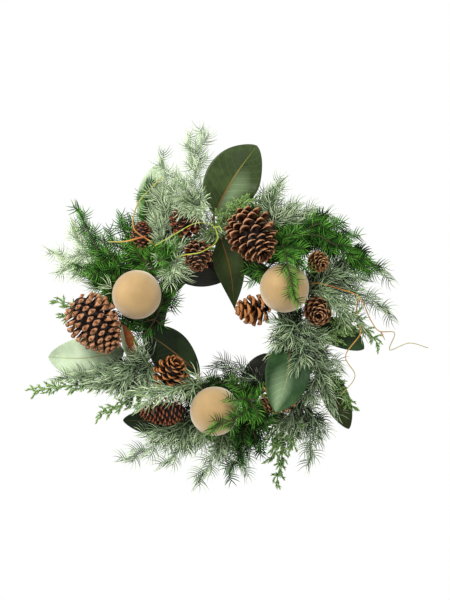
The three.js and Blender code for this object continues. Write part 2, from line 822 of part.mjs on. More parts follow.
function twigGeometry(name, twig) {
  const routes = settledRoutes(name, twig.routes, twig.radius);
  return joined(routes.map((stations) => {
    const steps = Math.ceil(stations.length * TWIG_STEPS_SHARE);
    return tubeAlong(stations, twig.radius, TWIG_SIDES, steps);
  }));
}

// Needles: how far one can reach along its direction before it comes near something
function clearShare(start, reach, owner) {
  const length = reach.length();
  const wall = BACK_DEPTH - WALL_CLEARANCE;
  for (let walked = NEEDLE_STEP; walked <= length + NEEDLE_STEP; walked += NEEDLE_STEP) {
    const share = walked / length;
    const point = start.clone().addScaledVector(reach, share);
    const thickness = Math.max(0, 1.1 * (1 - share));
    const { distance } = placed.nearest(point, owner);
    if (point.y > wall || distance < NEEDLE_CLEARANCE + thickness) {
      return Math.max(0, (walked - NEEDLE_STEP * 1.5) / length);
    }
  }
  return 1;
}

// Distances between two sections at which a stem needs one more to follow its bend
function bends(curve, low, high) {
  const length = curve.getLength();
  const middle = (low + high) / 2;
  const [start, halfway, end] = [low, middle, high].map((at) => curve.getPointAt(at / length));
  if (start.add(end).divideScalar(2).distanceTo(halfway) < STRAIGHTNESS) {
    return [];
  }
  return [...bends(curve, low, middle), middle, ...bends(curve, middle, high)];
}

// Distances along a stem at which its section is set: pairs close together are whorls
function stemSections(curve, bare, spacing) {
  const sections = [{ at: 0, whorl: false }];
  const room = curve.getLength() - bare - WHORL_LENGTH * 1.5;
  const gaps = Math.max(1, Math.round(room / spacing));
  for (let whorl = 0; whorl <= gaps; whorl += 1) {
    const at = bare + room * whorl / gaps;
    const before = sections[sections.length - 1].at;
    sections.push(...bends(curve, before, at).map((bend) => ({ at: bend, whorl: false })));
    sections.push({ at, whorl: true });
    sections.push({ at: at + WHORL_LENGTH, whorl: false });
  }
  return sections;
}

// One branch of a spray: a three-sided stem whose faces rise to needles at each whorl
function branchGeometry(stations, bare, look, random, owner) {
  const curve = new THREE.CatmullRomCurve3(stations, false, 'centripetal');
  const length = curve.getLength();
  const sections = stemSections(curve, Math.min(bare, length * 0.7), look.spacing);
  const vertices = [];
  const triangles = [];
  const frames = [];
  let side = new THREE.Vector3(0, -1, 0).cross(curve.getTangentAt(0));
  if (side.length() < 0.3) {
    side = new THREE.Vector3(1, 0, 0);
  }
  let twist = 0;
  sections.forEach((section, index) => {
    const share = Math.min(section.at / length, 1);
    const tangent = curve.getTangentAt(share);
    side = side.projectOnPlane(tangent).normalize();
    const up = tangent.clone().cross(side).negate();
    const centre = curve.getPointAt(share);
    const radius = look.stemRadius * (1 - 0.35 * share);
    frames.push({ centre, tangent, side: side.clone(), up });
    for (let corner = 0; corner < 3; corner += 1) {
      const angle = twist + corner * Math.PI * 2 / 3;
      const vertex = centre.clone().addScaledVector(side, radius * Math.cos(angle));
      vertices.push(vertex.addScaledVector(up, radius * Math.sin(angle)));
    }
    twist += section.whorl ? 0 : 0.7;
  });
  const raise = (corners, frame, spread) => {
    const [a, b, c] = corners.map((corner) => vertices[corner]);
    const middle = a.clone().add(b).add(c).divideScalar(3);
    const outward = middle.clone().sub(frame.centre).projectOnPlane(frame.tangent);
    const angle = Math.atan2(outward.dot(frame.up), outward.dot(frame.side)) + spread * 0.42;
    const lean = THREE.MathUtils.degToRad(look.lean) - spread * 0.12;
    const reach = frame.tangent.clone().multiplyScalar(Math.cos(lean));
    reach.addScaledVector(frame.side, Math.sin(lean) * Math.cos(angle));
    reach.addScaledVector(frame.up, Math.sin(lean) * Math.sin(angle) * look.flatness);
    reach.multiplyScalar(look.needle * (0.86 + 0.28 * random()));
    const share = clearShare(middle, reach, owner);
    if (share * reach.length() < SHORTEST_NEEDLE) {
      triangles.push(corners);
      return;
    }
    const tip = vertices.length;
    vertices.push(middle.clone().addScaledVector(reach, share));
    for (let corner = 0; corner < 3; corner += 1) {
      triangles.push([corners[corner], corners[(corner + 1) % 3], tip]);
    }
  };
  triangles.push([0, 1, 2]);
  for (let index = 0; index < sections.length - 1; index += 1) {
    for (let corner = 0; corner < 3; corner += 1) {
      const next = (corner + 1) % 3;
      const [low, lowNext] = [index * 3 + corner, index * 3 + next];
      const [high, highNext] = [low + 3, lowNext + 3];
      if (sections[index].whorl) {
        raise([low, high, highNext], frames[index], -1);
        raise([low, highNext, lowNext], frames[index], 1);
      } else {
        triangles.push([low, high, highNext], [low, highNext, lowNext]);
      }
    }
  }
  const last = (sections.length - 1) * 3;
  const tip = vertices.length;
  vertices.push(curve.getPointAt(1).addScaledVector(curve.getTangentAt(1), look.needle * 0.35));
  for (let corner = 0; corner < 3; corner += 1) {
    triangles.push([last + corner, tip, last + (corner + 1) % 3]);
  }
  return geometryFrom(vertices, triangles);
}

// Build: hard pieces first, then stems, then needles in the room that is left
const ring = ringGeometry();
ringSurface.add(ring, 'vine_ring');
placed.add(ring, 'vine_ring');
addPiece('vine_ring', ring, 0x4a3626, 0.9);

for (const [name, spot] of Object.entries(BALLS)) {
  const ball = ballGeometry(spot, ring);
  placed.add(ball, name);
  addPiece(name, ball, 0xd4b88a, 0.95);
}
for (const [name, cone] of Object.entries(CONES)) {
  const geometry = coneGeometry(cone);
  placed.add(geometry, name);
  addPiece(name, geometry, cone.colour, 0.8);
}
for (const [name, leaf] of Object.entries(LEAVES)) {
  const geometry = leafGeometry(leaf);
  placed.add(geometry, name);
  addPiece(name, geometry, leaf.colour, 0.5);
}
for (const [name, twig] of Object.entries(TWIGS)) {
  const geometry = twigGeometry(name, twig);
  placed.add(geometry, name);
  addPiece(name, geometry, twig.colour, 0.7);
}

const sprayStems = Object.entries(SPRAYS).map(([name, spray]) => {
  const points = spray.routes.map((route) => route.points);
  const settled = settledRoutes(name, points, spray.look.stemRadius);
  settled.forEach((stations) => {
    placed.add(tubeAlong(stations, spray.look.stemRadius, 3, stations.length), name);
  });
  return { name, spray, settled };
});
sprayStems.forEach(({ name, spray, settled }, order) => {
  const random = seededRandom(order + 1);
  const branches = settled.map((stations, index) => {
    const branch = branchGeometry(stations, spray.routes[index].bare, spray.look, random, name);
    placed.add(branch, `${name} ${index}`);
    return branch;
  });
  addPiece(name, joined(branches), spray.look.colour, 0.75);
});

export default wreath;
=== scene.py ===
"""Fir and magnolia wreath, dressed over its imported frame.

Lengths are metres. Places on the wreath are written in millimetres as (right, up, forward)
from the centre of the vine ring, as they are in the part's source, and angles in degrees.
"""
import math

import bmesh
import bpy
from bpy.props import FloatProperty, FloatVectorProperty, IntProperty, PointerProperty
from mathutils import Matrix, Vector
from mathutils.bvhtree import BVHTree


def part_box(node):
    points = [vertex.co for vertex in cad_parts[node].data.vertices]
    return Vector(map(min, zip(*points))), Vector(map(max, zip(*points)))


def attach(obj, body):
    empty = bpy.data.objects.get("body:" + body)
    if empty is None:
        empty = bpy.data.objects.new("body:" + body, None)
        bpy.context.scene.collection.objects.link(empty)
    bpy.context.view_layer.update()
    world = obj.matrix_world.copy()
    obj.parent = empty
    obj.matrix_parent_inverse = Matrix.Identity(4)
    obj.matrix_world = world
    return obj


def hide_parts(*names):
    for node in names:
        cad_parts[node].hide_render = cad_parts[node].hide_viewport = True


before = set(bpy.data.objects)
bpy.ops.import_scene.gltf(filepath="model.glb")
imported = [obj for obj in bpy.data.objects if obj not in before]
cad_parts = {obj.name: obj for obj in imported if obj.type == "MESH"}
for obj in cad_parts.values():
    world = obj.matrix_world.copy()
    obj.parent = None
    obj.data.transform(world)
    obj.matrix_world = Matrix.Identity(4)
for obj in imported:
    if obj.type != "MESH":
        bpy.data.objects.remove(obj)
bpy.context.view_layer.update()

MM = 0.001

bl_info = {
    "name": "Fir and magnolia wreath",
    "version": (1, 0, 0),
    "blender": (4, 5, 0),
    "location": "View3D > Sidebar > Wreath",
    "description": "Leaves, cones, velvet balls, twigs and needle sprays on a vine ring",
    "category": "Add Mesh",
}

# Ring: the radii of its centre line and of its section, and how far its flat back is behind them
RING_RADIUS = 112 * MM
SECTION_RADIUS = 17 * MM
RING_INSIDE = 95 * MM
BACK_DEPTH = 10 * MM
FORWARD = Vector((0, -1, 0))

# Gaps: from a piece to the wall, and from a stem or a needle to what it must not run into
WALL_GAP = 1 * MM
STEM_GAP = 1.1 * MM
NEEDLE_GAP = 0.6 * MM


def srgb(red, green, blue):
    """A colour as the eye names it, 0 to 255, as the linear colour that a shader takes."""
    def linear(value):
        share = value / 255
        return share / 12.92 if share <= 0.04045 else ((share + 0.055) / 1.055) ** 2.4
    return linear(red), linear(green), linear(blue), 1.0


def place(spot):
    """A place on the wreath as a point in the frame."""
    right, up, forward = spot
    return Vector((right * MM, -forward * MM, up * MM - RING_INSIDE))


# Leaves: the rib from base to tip, the width, the turn about the rib, the lift of each half and
# the looks of the two sides. An outline is two powers: above 1, the first moves the widest place
# from the base to the tip, and a smaller second one makes a fuller leaf.
LEAVES = {
    "leaf_top": {
        "rib": [(-13, 190, 10), (20, 250, 20), (58, 302, 8)],
        "width": 91, "roll": 4, "fold": 8, "face": "olive", "back": "pale",
    },
    "leaf_hanging": {
        "rib": [(-2, 150, 22), (14, 92, 25), (21, 30, 20)],
        "width": 52, "roll": -6, "fold": 14, "face": "bronze", "back": "rust",
        "outline": (0.7, 1.15),
    },
    "leaf_dark_upper_left": {
        "rib": [(-82, 92, 23), (-38, 86, 22), (8, 82, 18)],
        "width": 36, "fold": 4, "face": "shaded", "back": "rust",
    },
    "leaf_pale_left": {
        "rib": [(-163, -38, 2), (-228, -50, 6), (-289, -49, -2)],
        "width": 73, "roll": 5, "fold": 8, "face": "pale", "back": "forest",
    },
    "leaf_lower_left": {
        "rib": [(-37, -75, 17), (-86, -35, 20), (-130, -4, 21)],
        "width": 64, "fold": 1, "face": "deep", "back": "rust",
        "outline": (1.2, 0.6),
    },
    "leaf_bottom_left": {
        "rib": [(-62, -142, -2), (-112, -154, -3), (-165, -154, -5)],
        "width": 46, "fold": 3, "face": "deep", "back": "rust",
    },
    "leaf_folded_left": {
        "rib": [(-149, -50, 14), (-158, -26, 24), (-165, 6, 26)],
        "width": 40, "fold": 72, "fold_right": 30, "face": "rust", "back": "forest",
        "left": "pale",
    },
    "leaf_right": {
        "rib": [(112, -20, 30), (107, -78, 54), (88, -137, 63)],
        "width": 75, "roll": 6, "fold": 10, "face": "green", "back": "rust",
    },
    "leaf_right_outer": {
        "rib": [(150, 4, 2), (194, -8, 7), (236, -35, 1)],
        "width": 48, "fold": 8, "face": "forest", "back": "rust",
    },
    "leaf_lower_right": {
        "rib": [(166, -66, 1), (190, -118, 5), (211, -168, 0)],
        "width": 45, "fold": 10, "face": "bronze", "back": "rust",
    },
    "leaf_dark_lower_right": {
        "rib": [(80, -43, 21), (57, -73, 23), (31, -101, 22)],
        "width": 40, "fold": 4, "face": "shaded", "back": "rust",
    },
    "leaf_pale_upper_left": {
        "rib": [(-119, 162, -3), (-118, 218, 0), (-107, 272, -4)],
        "width": 48, "fold": 8, "face": "pale", "back": "forest",
    },
}

# Cones: the axis' base and tip, the radius over the scales, their number, form and colour
CONES = {
    "cone_left": ((-241, 50, 38), (-176, -36, 52), 40, 122, "padded", "brown"),
    "cone_top": ((32, 186, 34), (69, 119, 84), 41, 90, "petal", "brown"),
    "cone_upper_left_outer": ((-55, 160, 16), (-66, 190, 50), 26, 58, "petal", "red"),
    "cone_upper_left_inner": ((-39, 138, 36), (-40, 99, 65), 24, 58, "petal", "brown"),
    "cone_rosette": ((-93, -94, 31), (-73, -55, 70), 29, 64, "rosette", "warm"),
    "cone_lying": ((-58, -135, 29), (-137, -138, 31), 23, 130, "packed", "red"),
    "cone_open": ((80, 31, 18), (31, 29, 25), 25, 38, "slat", "warm"),
    "cone_right": ((157, 36, 12), (158, 20, 58), 25, 64, "rosette", "brown"),
    "cone_behind_leaf": ((115, -93, 24), (72, -130, 23), 31, 84, "petal", "brown"),
    "small_cone_left": ((-132, 128, 24), (-132, 176, 34), 18, 90, "packed", "red"),
    "small_cone_right": ((153, 115, 12), (165, 103, 46), 18, 60, "rosette", "tan"),
}

# Twigs: the first route starts at the ring and the others fork from it. One is thicker than usual.
TWIG_THICKNESS = {"twig_upper_left": 1.4}
TWIGS = {
    "twig_upper_left": [
        [(-96, 116, 22), (-115, 140, 44), (-144, 163, 50), (-139, 203, 34), (-99, 249, 26)],
        [(-128, 150, 48), (-160, 142, 44), (-188, 142, 36)],
    ],
    "tendril_top": [
        [
            (-72, 112, 30), (-69, 117, 56), (-58, 120, 72), (-36, 123, 82), (-13, 137, 68),
            (-7, 148, 58), (-15, 168, 54), (-40, 172, 64), (-80, 152, 58), (-110, 135, 46),
        ],
        [(-14, 166, 54), (-4, 166, 58), (0, 157, 62)],
    ],
    "twig_right": [
        [
            (136, 68, 14), (150, 74, 22), (196, 64, 26), (226, 51, 26), (246, 12, 24),
            (259, -5, 22), (285, -8, 20), (277, -36, 18), (310, -25, 16), (341, -33, 14),
        ],
        [
            (226, 51, 26), (221, 21, 32), (229, -5, 34), (203, -47, 36), (219, -79, 32),
            (195, -112, 28),
        ],
        [(262, -6, 22), (269, -20, 24)],
    ],
}

# Sprays: each route is the length of bare stem at its start and its points. The first route
# starts at the ring and the others at the nearest point of the first.
FROSTED_SPRAYS = {
    "frosted_top": [
        (40, [(-26, 136, 6), (-28, 160, 5), (-38, 200, 10), (-48, 261, 14), (-59, 325, 6)]),
        (8, [(-46, 250, 14), (-36, 290, 18), (-31, 337, 10)]),
        (10, [(-37, 196, 10), (-44, 202, 32), (-50, 207, 60)]),
        (4, [(-28, 164, 6), (-40, 178, 26), (-30, 192, 36)]),
        (4, [(-40, 205, 11), (-62, 228, 24), (-66, 258, 20)]),
        (4, [(-30, 170, 6), (-14, 160, 20), (-34, 146, 34)]),
        (4, [(-45, 203, 40), (-60, 192, 62), (-70, 178, 62)]),
        (4, [(-45, 203, 40), (-36, 190, 62), (-26, 176, 62)]),
        (4, [(-46, 204, 44), (-50, 190, 68), (-48, 176, 70)]),
        (4, [(-46, 204, 40), (-66, 214, 54), (-86, 214, 50)]),
        (4, [(-46, 204, 44), (-32, 212, 60), (-20, 220, 52)]),
    ],
    "frosted_upper_left": [
        (40, [(-84, 110, 8), (-92, 150, 10), (-88, 216, 14), (-104, 294, 6)]),
        (14, [(-88, 128, 9), (-92, 164, 26), (-86, 206, 28), (-73, 261, 16)]),
        (8, [(-85, 116, 9), (-88, 106, 32), (-76, 98, 42), (-58, 94, 46)]),
        (4, [(-90, 148, 10), (-108, 172, 24), (-118, 206, 20)]),
        (4, [(-88, 136, 9), (-70, 152, 32), (-62, 184, 34)]),
        (4, [(-86, 120, 9), (-98, 124, 30), (-92, 146, 44)]),
        (4, [(-86, 110, 9), (-84, 92, 34), (-94, 74, 42)]),
        (4, [(-86, 112, 9), (-74, 124, 36), (-64, 146, 42)]),
        (4, [(-84, 108, 9), (-72, 104, 40), (-48, 114, 48)]),
        (4, [(-84, 106, 10), (-76, 88, 36), (-56, 78, 40)]),
        (4, [(-90, 140, 10), (-100, 150, 34), (-104, 176, 36)]),
        (4, [(-88, 190, 12), (-104, 214, 26), (-112, 246, 20)]),
    ],
    "frosted_left": [
        (50, [(-126, 66, -1), (-150, 86, 4), (-185, 109, 8), (-251, 175, 4)]),
        (36, [(-128, 68, -1), (-165, 58, -5), (-201, 66, 0), (-240, 98, 6), (-287, 132, 4)]),
        (4, [(-150, 86, 4), (-200, 104, 8), (-238, 144, 10), (-250, 178, 8)]),
        (4, [(-152, 84, 4), (-190, 92, 8), (-226, 112, 10)]),
        (4, [(-140, 62, -2), (-168, 66, 30), (-192, 64, 56)]),
        (4, [(-240, 98, 6), (-262, 96, 12), (-280, 92, 10)]),
    ],
    "frosted_lower_left": [
        (20, [(-118, -58, 14), (-132, -68, 22), (-200, -78, 26), (-284, -86, 12)]),
        (8, [(-124, -62, 18), (-132, -44, 40), (-143, -20, 52)]),
        (4, [(-120, -60, 14), (-129, -48, 34), (-139, -30, 40)]),
        (4, [(-124, -64, 16), (-156, -60, 34), (-178, -66, 34)]),
        (4, [(-136, -70, 20), (-180, -90, 32), (-226, -92, 26)]),
        (4, [(-118, -58, 14), (-111, -78, 16), (-122, -104, 16)]),
    ],
    "frosted_bottom_left": [
        (36, [(-44, -136, 4), (-56, -164, 8), (-110, -195, 14), (-172, -224, 6)]),
        (12, [(-50, -150, 6), (-60, -190, 18), (-101, -234, 10)]),
        (4, [(-50, -150, 5), (-84, -172, 20), (-136, -178, 16)]),
        (4, [(-46, -142, 4), (-34, -168, 18), (-44, -204, 16)]),
    ],
    "frosted_bottom": [
        (44, [(8, -136, 2), (6, -185, 10), (-20, -225, 16), (-46, -262, 6)]),
        (14, [(7, -160, 6), (28, -190, 10), (36, -218, 12), (36, -248, 8)]),
        (4, [(8, -150, 4), (-16, -178, 18), (-42, -196, 18)]),
        (4, [(7, -158, 5), (-2, -196, 22), (8, -222, 16)]),
    ],
    "frosted_bottom_right": [
        (36, [(100, -88, -3), (124, -108, -4), (138, -132, 4), (146, -180, 12), (147, -234, 8)]),
        (8, [(138, -140, 5), (124, -166, 14), (109, -201, 10)]),
        (4, [(128, -112, -2), (116, -140, 14), (98, -168, 18)]),
        (4, [(139, -136, 4), (158, -158, 18), (166, -192, 14)]),
    ],
    "frosted_right": [
        (14, [(118, 10, 26), (136, -22, 34), (165, -80, 36), (191, -152, 22)]),
        (8, [(124, -2, 28), (98, -18, 40), (74, -45, 38)]),
        (8, [(138, -26, 34), (166, -44, 34), (203, -73, 26)]),
        (4, [(122, 0, 28), (98, 4, 42), (78, -14, 42)]),
        (4, [(119, 8, 27), (108, 14, 36), (92, 12, 34)]),
        (4, [(122, 2, 28), (134, 12, 38), (148, 8, 42)]),
        (4, [(119, 6, 27), (112, -10, 44), (92, -34, 48)]),
        (4, [(128, -10, 32), (150, -8, 42), (176, -22, 40)]),
        (4, [(136, -22, 34), (128, -46, 52), (140, -76, 50)]),
        (4, [(160, -72, 36), (146, -98, 42), (152, -128, 34)]),
    ],
    "frosted_far_right": [
        (40, [(132, 58, -2), (165, 74, 2), (203, 66, 12), (250, 46, 14), (287, 16, 8)]),
        (20, [(152, 68, 0), (190, 100, 6), (236, 106, 10), (284, 82, 6)]),
        (4, [(148, 66, -1), (176, 86, 22), (206, 88, 24)]),
        (4, [(170, 74, 3), (200, 86, 18), (246, 78, 18)]),
    ],
    "frosted_upper_right": [
        (50, [(62, 124, 2), (74, 160, 2), (90, 186, 12), (140, 194, 18), (198, 176, 10)]),
        (26, [(70, 150, 2), (62, 180, 0), (74, 220, 6), (105, 249, 4)]),
        (4, [(76, 164, 3), (92, 176, 22), (120, 206, 20)]),
        (4, [(64, 184, 1), (80, 208, 18), (104, 230, 16)]),
        (4, [(84, 178, 8), (124, 172, 22), (168, 178, 20)]),
    ],
    "frosted_inside_bottom": [
        (380, [(63, -108, 24), (60, -88, 38), (20, -66, 34), (-23, -60, 28)]),
        (120, [(60, -90, 37), (34, -82, 34), (4, -82, 32)]),
    ],
}
FIR_SPRAYS = {
    "fir_upper_left": [
        (30, [(-98, 100, 0), (-116, 136, 4), (-128, 180, 9), (-124, 244, 6)]),
        (10, [(-106, 112, 1), (-146, 134, 10), (-173, 190, 8)]),
        (4, [(-104, 108, 1), (-134, 116, 20), (-168, 132, 22), (-192, 160, 16)]),
        (4, [(-116, 134, 4), (-134, 152, 20), (-150, 184, 18)]),
        (4, [(-102, 106, 1), (-124, 104, 24), (-152, 106, 28)]),
        (4, [(-116, 134, 4), (-140, 150, 18), (-162, 178, 16)]),
        (4, [(-104, 108, 1), (-128, 134, 26), (-146, 162, 26)]),
    ],
    "fir_left": [
        (30, [(-132, 42, -3), (-156, 54, 2), (-178, 76, 14), (-206, 130, 24), (-243, 206, 14)]),
        (12, [(-176, 72, 6), (-196, 88, 22), (-240, 104, 26)]),
        (4, [(-158, 56, 2), (-180, 60, 18), (-212, 72, 20)]),
        (4, [(-178, 76, 6), (-176, 108, 26), (-200, 148, 28)]),
        (4, [(-150, 52, 0), (-172, 84, 26), (-204, 96, 32), (-226, 86, 28)]),
    ],
    "fir_over_ball": [
        (14, [(-112, 84, 14), (-124, 110, 30), (-100, 130, 40), (-63, 140, 42)]),
        (4, [(-122, 104, 26), (-106, 112, 42), (-84, 112, 48)]),
        (4, [(-122, 108, 28), (-140, 124, 36), (-146, 146, 34)]),
        (4, [(-118, 100, 22), (-104, 96, 38), (-90, 88, 40)]),
        (4, [(-112, 86, 15), (-90, 116, 22), (-64, 136, 20), (-34, 146, 18)]),
    ],
    "fir_inside_left": [
        (6, [(-110, 14, 26), (-102, 30, 32), (-88, 48, 30), (-68, 70, 28)]),
        (4, [(-110, 14, 26), (-98, 6, 32), (-88, 18, 30)]),
        (4, [(-110, 16, 26), (-128, 10, 30), (-146, -2, 34)]),
        (4, [(-110, 14, 26), (-124, -6, 34), (-138, -18, 38)]),
        (4, [(-104, 28, 32), (-90, 34, 30), (-76, 44, 28)]),
        (4, [(-110, 14, 26), (-130, 0, 20), (-152, 6, 16)]),
        (4, [(-110, 14, 26), (-136, 14, 28), (-162, 14, 28)]),
        (4, [(-104, 26, 32), (-96, 54, 34), (-92, 78, 32)]),
        (4, [(-112, 18, 24), (-140, 8, 14), (-174, 4, 10)]),
        (4, [(-112, 20, 24), (-140, 22, 14), (-174, 24, 10)]),
    ],
    "fir_bottom": [
        (24, [(48, -124, 14), (46, -160, 20), (28, -206, 22), (7, -252, 14)]),
        (10, [(48, -134, 16), (60, -164, 12), (59, -210, 8)]),
        (4, [(47, -130, 16), (66, -140, 30), (72, -170, 26)]),
        (4, [(46, -150, 18), (36, -178, 34), (44, -208, 28)]),
        (4, [(46, -156, 19), (56, -184, 28), (70, -206, 18)]),
    ],
    "fir_over_bottom_ball": [
        (26, [(40, -106, 26), (46, -120, 50), (28, -142, 82), (-4, -156, 97), (-26, -166, 96)]),
        (6, [(46, -120, 50), (36, -114, 74), (8, -118, 94)]),
        (4, [(46, -118, 46), (60, -114, 56), (58, -104, 58)]),
        (4, [(45, -122, 52), (58, -136, 64), (52, -160, 62)]),
        (4, [(44, -110, 36), (30, -96, 52), (12, -94, 56)]),
    ],
    "fir_right": [
        (40, [(84, 108, 10), (102, 142, 16), (150, 158, 28), (206, 136, 28), (262, 96, 16)]),
        (10, [(126, 154, 24), (164, 172, 38), (228, 146, 34)]),
        (4, [(96, 132, 14), (122, 132, 22), (150, 136, 16), (190, 124, 14)]),
        (4, [(150, 158, 28), (190, 134, 40), (232, 106, 34)]),
        (4, [(94, 128, 14), (104, 150, 34), (134, 158, 42)]),
        (4, [(206, 136, 28), (226, 110, 30), (246, 84, 22)]),
        (4, [(130, 156, 26), (176, 148, 34), (222, 126, 32)]),
    ],
    "fir_top": [
        (44, [(44, 136, -3), (48, 170, 0), (64, 198, 8), (94, 224, 8)]),
    ],
    "fir_over_right_ball": [
        (24, [(80, 116, 22), (98, 136, 54), (104, 112, 92), (112, 76, 106), (121, 36, 98)]),
        (10, [(98, 136, 54), (118, 128, 66), (138, 84, 56)]),
        (4, [(96, 132, 46), (78, 132, 60), (74, 112, 66)]),
        (4, [(98, 136, 54), (110, 152, 58), (130, 154, 56)]),
        (4, [(102, 128, 64), (116, 116, 78), (124, 98, 80)]),
    ],
    "fir_below_top_cone": [
        (4, [(73, 98, 26), (66, 91, 35), (47, 71, 33)]),
        (4, [(73, 98, 26), (80, 104, 34), (92, 116, 40)]),
        (4, [(70, 95, 30), (58, 96, 36), (42, 88, 34)]),
    ],
    "fir_inside_bottom": [
        (4, [(24, -104, 26), (8, -92, 30), (-44, -90, 28)]),
        (4, [(22, -102, 27), (34, -98, 30), (46, -98, 28)]),
        (4, [(16, -98, 28), (14, -86, 34), (22, -80, 36)]),
        (4, [(10, -100, 22), (-28, -116, 20), (-64, -122, 18)]),
        (4, [(-40, -92, 27), (-56, -112, 14), (-61, -142, 12)]),
    ],
}
CEDAR_SPRAYS = {
    "cedar_left": [
        (90, [(-134, -4, 0), (-190, 2, -4), (-236, 26, -2), (-260, 38, 6), (-284, 47, 6)]),
        (6, [(-240, 28, -1), (-258, 22, 6), (-276, 16, 6)]),
    ],
    "cedar_lower_left": [
        (110, [(-106, -86, 0), (-160, -96, 4), (-251, -96, 12), (-327, -107, 6)]),
        (24, [(-120, -90, 1), (-160, -124, 2), (-214, -150, 4)]),
    ],
    "cedar_bottom_right": [
        (48, [(84, -106, -4), (97, -146, -4), (102, -180, 5), (98, -222, 9), (88, -267, 5)]),
        (4, [(92, -134, -4), (84, -164, 10), (76, -196, 12)]),
        (4, [(96, -144, -4), (116, -172, 12), (116, -208, 12)]),
        (4, [(100, -170, 2), (92, -196, 14), (76, -224, 12)]),
    ],
    "cedar_right": [
        (30, [(126, -46, 8), (152, -60, 12), (184, -84, 16), (223, -140, 10)]),
    ],
    "cedar_far_right": [
        (70, [(134, -10, 10), (176, -14, 16), (228, 2, 18), (264, -33, 12)]),
        (4, [(176, -14, 16), (204, 18, 28), (236, 20, 26)]),
    ],
    "cedar_top": [
        (30, [(10, 138, 8), (10, 165, 14), (22, 190, 26), (40, 214, 28)]),
        (4, [(10, 150, 10), (-6, 172, 28), (-4, 196, 32)]),
        (4, [(10, 156, 12), (6, 184, 32), (16, 206, 34)]),
        (4, [(10, 148, 10), (-14, 156, 26), (-30, 168, 28)]),
        (4, [(10, 146, 10), (-10, 144, 18), (-30, 150, 20)]),
        (4, [(12, 170, 16), (32, 200, 34), (54, 222, 30)]),
        (4, [(10, 146, 10), (-20, 147, 12), (-56, 154, 12)]),
        (4, [(10, 140, 8), (-4, 132, 14), (-26, 130, 14)]),
    ],
}
SAGE_SPRAYS = {
    "sage_lower_left": [
        (10, [(-30, -104, 26), (-46, -92, 44), (-92, -100, 72), (-165, -107, 50)]),
        (8, [(-58, -95, 56), (-96, -108, 78), (-124, -120, 68), (-146, -142, 56)]),
        (4, [(-44, -94, 42), (-34, -82, 52), (-58, -78, 60)]),
        (4, [(-46, -93, 44), (-52, -108, 56), (-70, -124, 60)]),
    ],
    "sage_right": [
        (24, [(124, 44, 14), (140, 60, 26), (166, 58, 46), (208, 24, 44), (248, -12, 26)]),
        (4, [(158, 60, 40), (188, 50, 50), (224, 34, 42)]),
        (4, [(172, 54, 46), (190, 26, 52), (212, 0, 44)]),
    ],
}

# How much lighter or darker than its kind a spray is: partly its own tone and partly painted light
# and shade for where it lies
SPRAY_TONES_AND_SHADE = {
    "frosted_top": 0.35, "frosted_upper_left": 0.35, "frosted_left": 0.6,
    "frosted_lower_left": -0.05, "frosted_bottom_right": -0.25, "frosted_right": -0.15,
    "frosted_far_right": -0.15, "frosted_upper_right": 0.2, "frosted_inside_bottom": -1.1,
    "fir_over_ball": 0.25, "fir_inside_left": -0.3, "fir_bottom": -0.3,
    "fir_over_bottom_ball": 0.1, "fir_right": 0.1, "fir_over_right_ball": 0.15,
    "fir_inside_bottom": -0.5, "cedar_left": 0.35, "cedar_lower_left": 0.42,
    "cedar_bottom_right": 0.1, "cedar_far_right": 0.35, "cedar_top": 0.5, "sage_lower_left": 0.2,
}

# Sprays that lie open over something paler, with no shoots behind them darkened as painted shade
OPEN_SPRAYS = {
    "fir_over_right_ball", "fir_over_bottom_ball", "sage_lower_left", "sage_right",
    "fir_below_top_cone", "fir_inside_left", "frosted_inside_bottom", "cedar_left",
    "frosted_top", "frosted_left",
}


# Node trees

class Tree:
    """A node tree, geometry or shader, with short ways to add nodes and join them."""

    def __init__(self, tree):
        self.tree = tree

    def add(self, kind, inputs=None, **settings):
        """Adds a node; inputs are by name or number, each a value or another node's socket."""
        node = self.tree.nodes.new(kind)
        for setting, value in settings.items():
            setattr(node, setting, value)
        for key, value in (inputs or {}).items():
            self.feed(self.socket(node, key), value)
        return node

    def socket(self, node, key):
        """A node's input by its number, or by its name among those in use."""
        if isinstance(key, int):
            return node.inputs[key]
        return next(entry for entry in node.inputs if entry.enabled and entry.name == key)

    def feed(self, socket, value):
        """Joins a socket to another one, or sets its value."""
        if isinstance(value, bpy.types.NodeSocket):
            self.tree.links.new(value, socket)
        else:
            socket.default_value = value

    def out(self, node):
        """The first output that is in use."""
        return next(entry for entry in node.outputs if entry.enabled)

    def math(self, operation, *values):
        inputs = dict(enumerate(values))
        return self.add("ShaderNodeMath", inputs, operation=operation).outputs[0]

    def product(self, first, *others):
        for other in others:
            first = self.math("MULTIPLY", first, other)
        return first

    def vector(self, operation, *values):
        node = self.add("ShaderNodeVectorMath", dict(enumerate(values)), operation=operation)
        return self.out(node)

    def scaled(self, vector, share):
        node = self.add("ShaderNodeVectorMath", {0: vector, "Scale": share}, operation="SCALE")
        return self.out(node)

    def spread(self, value, low, high, to_low, to_high):
        """A value carried from one range to another, and held inside it."""
        inputs = {"Value": value, "From Min": low, "From Max": high}
        inputs.update({"To Min": to_low, "To Max": to_high})
        return self.add("ShaderNodeMapRange", inputs).outputs["Result"]


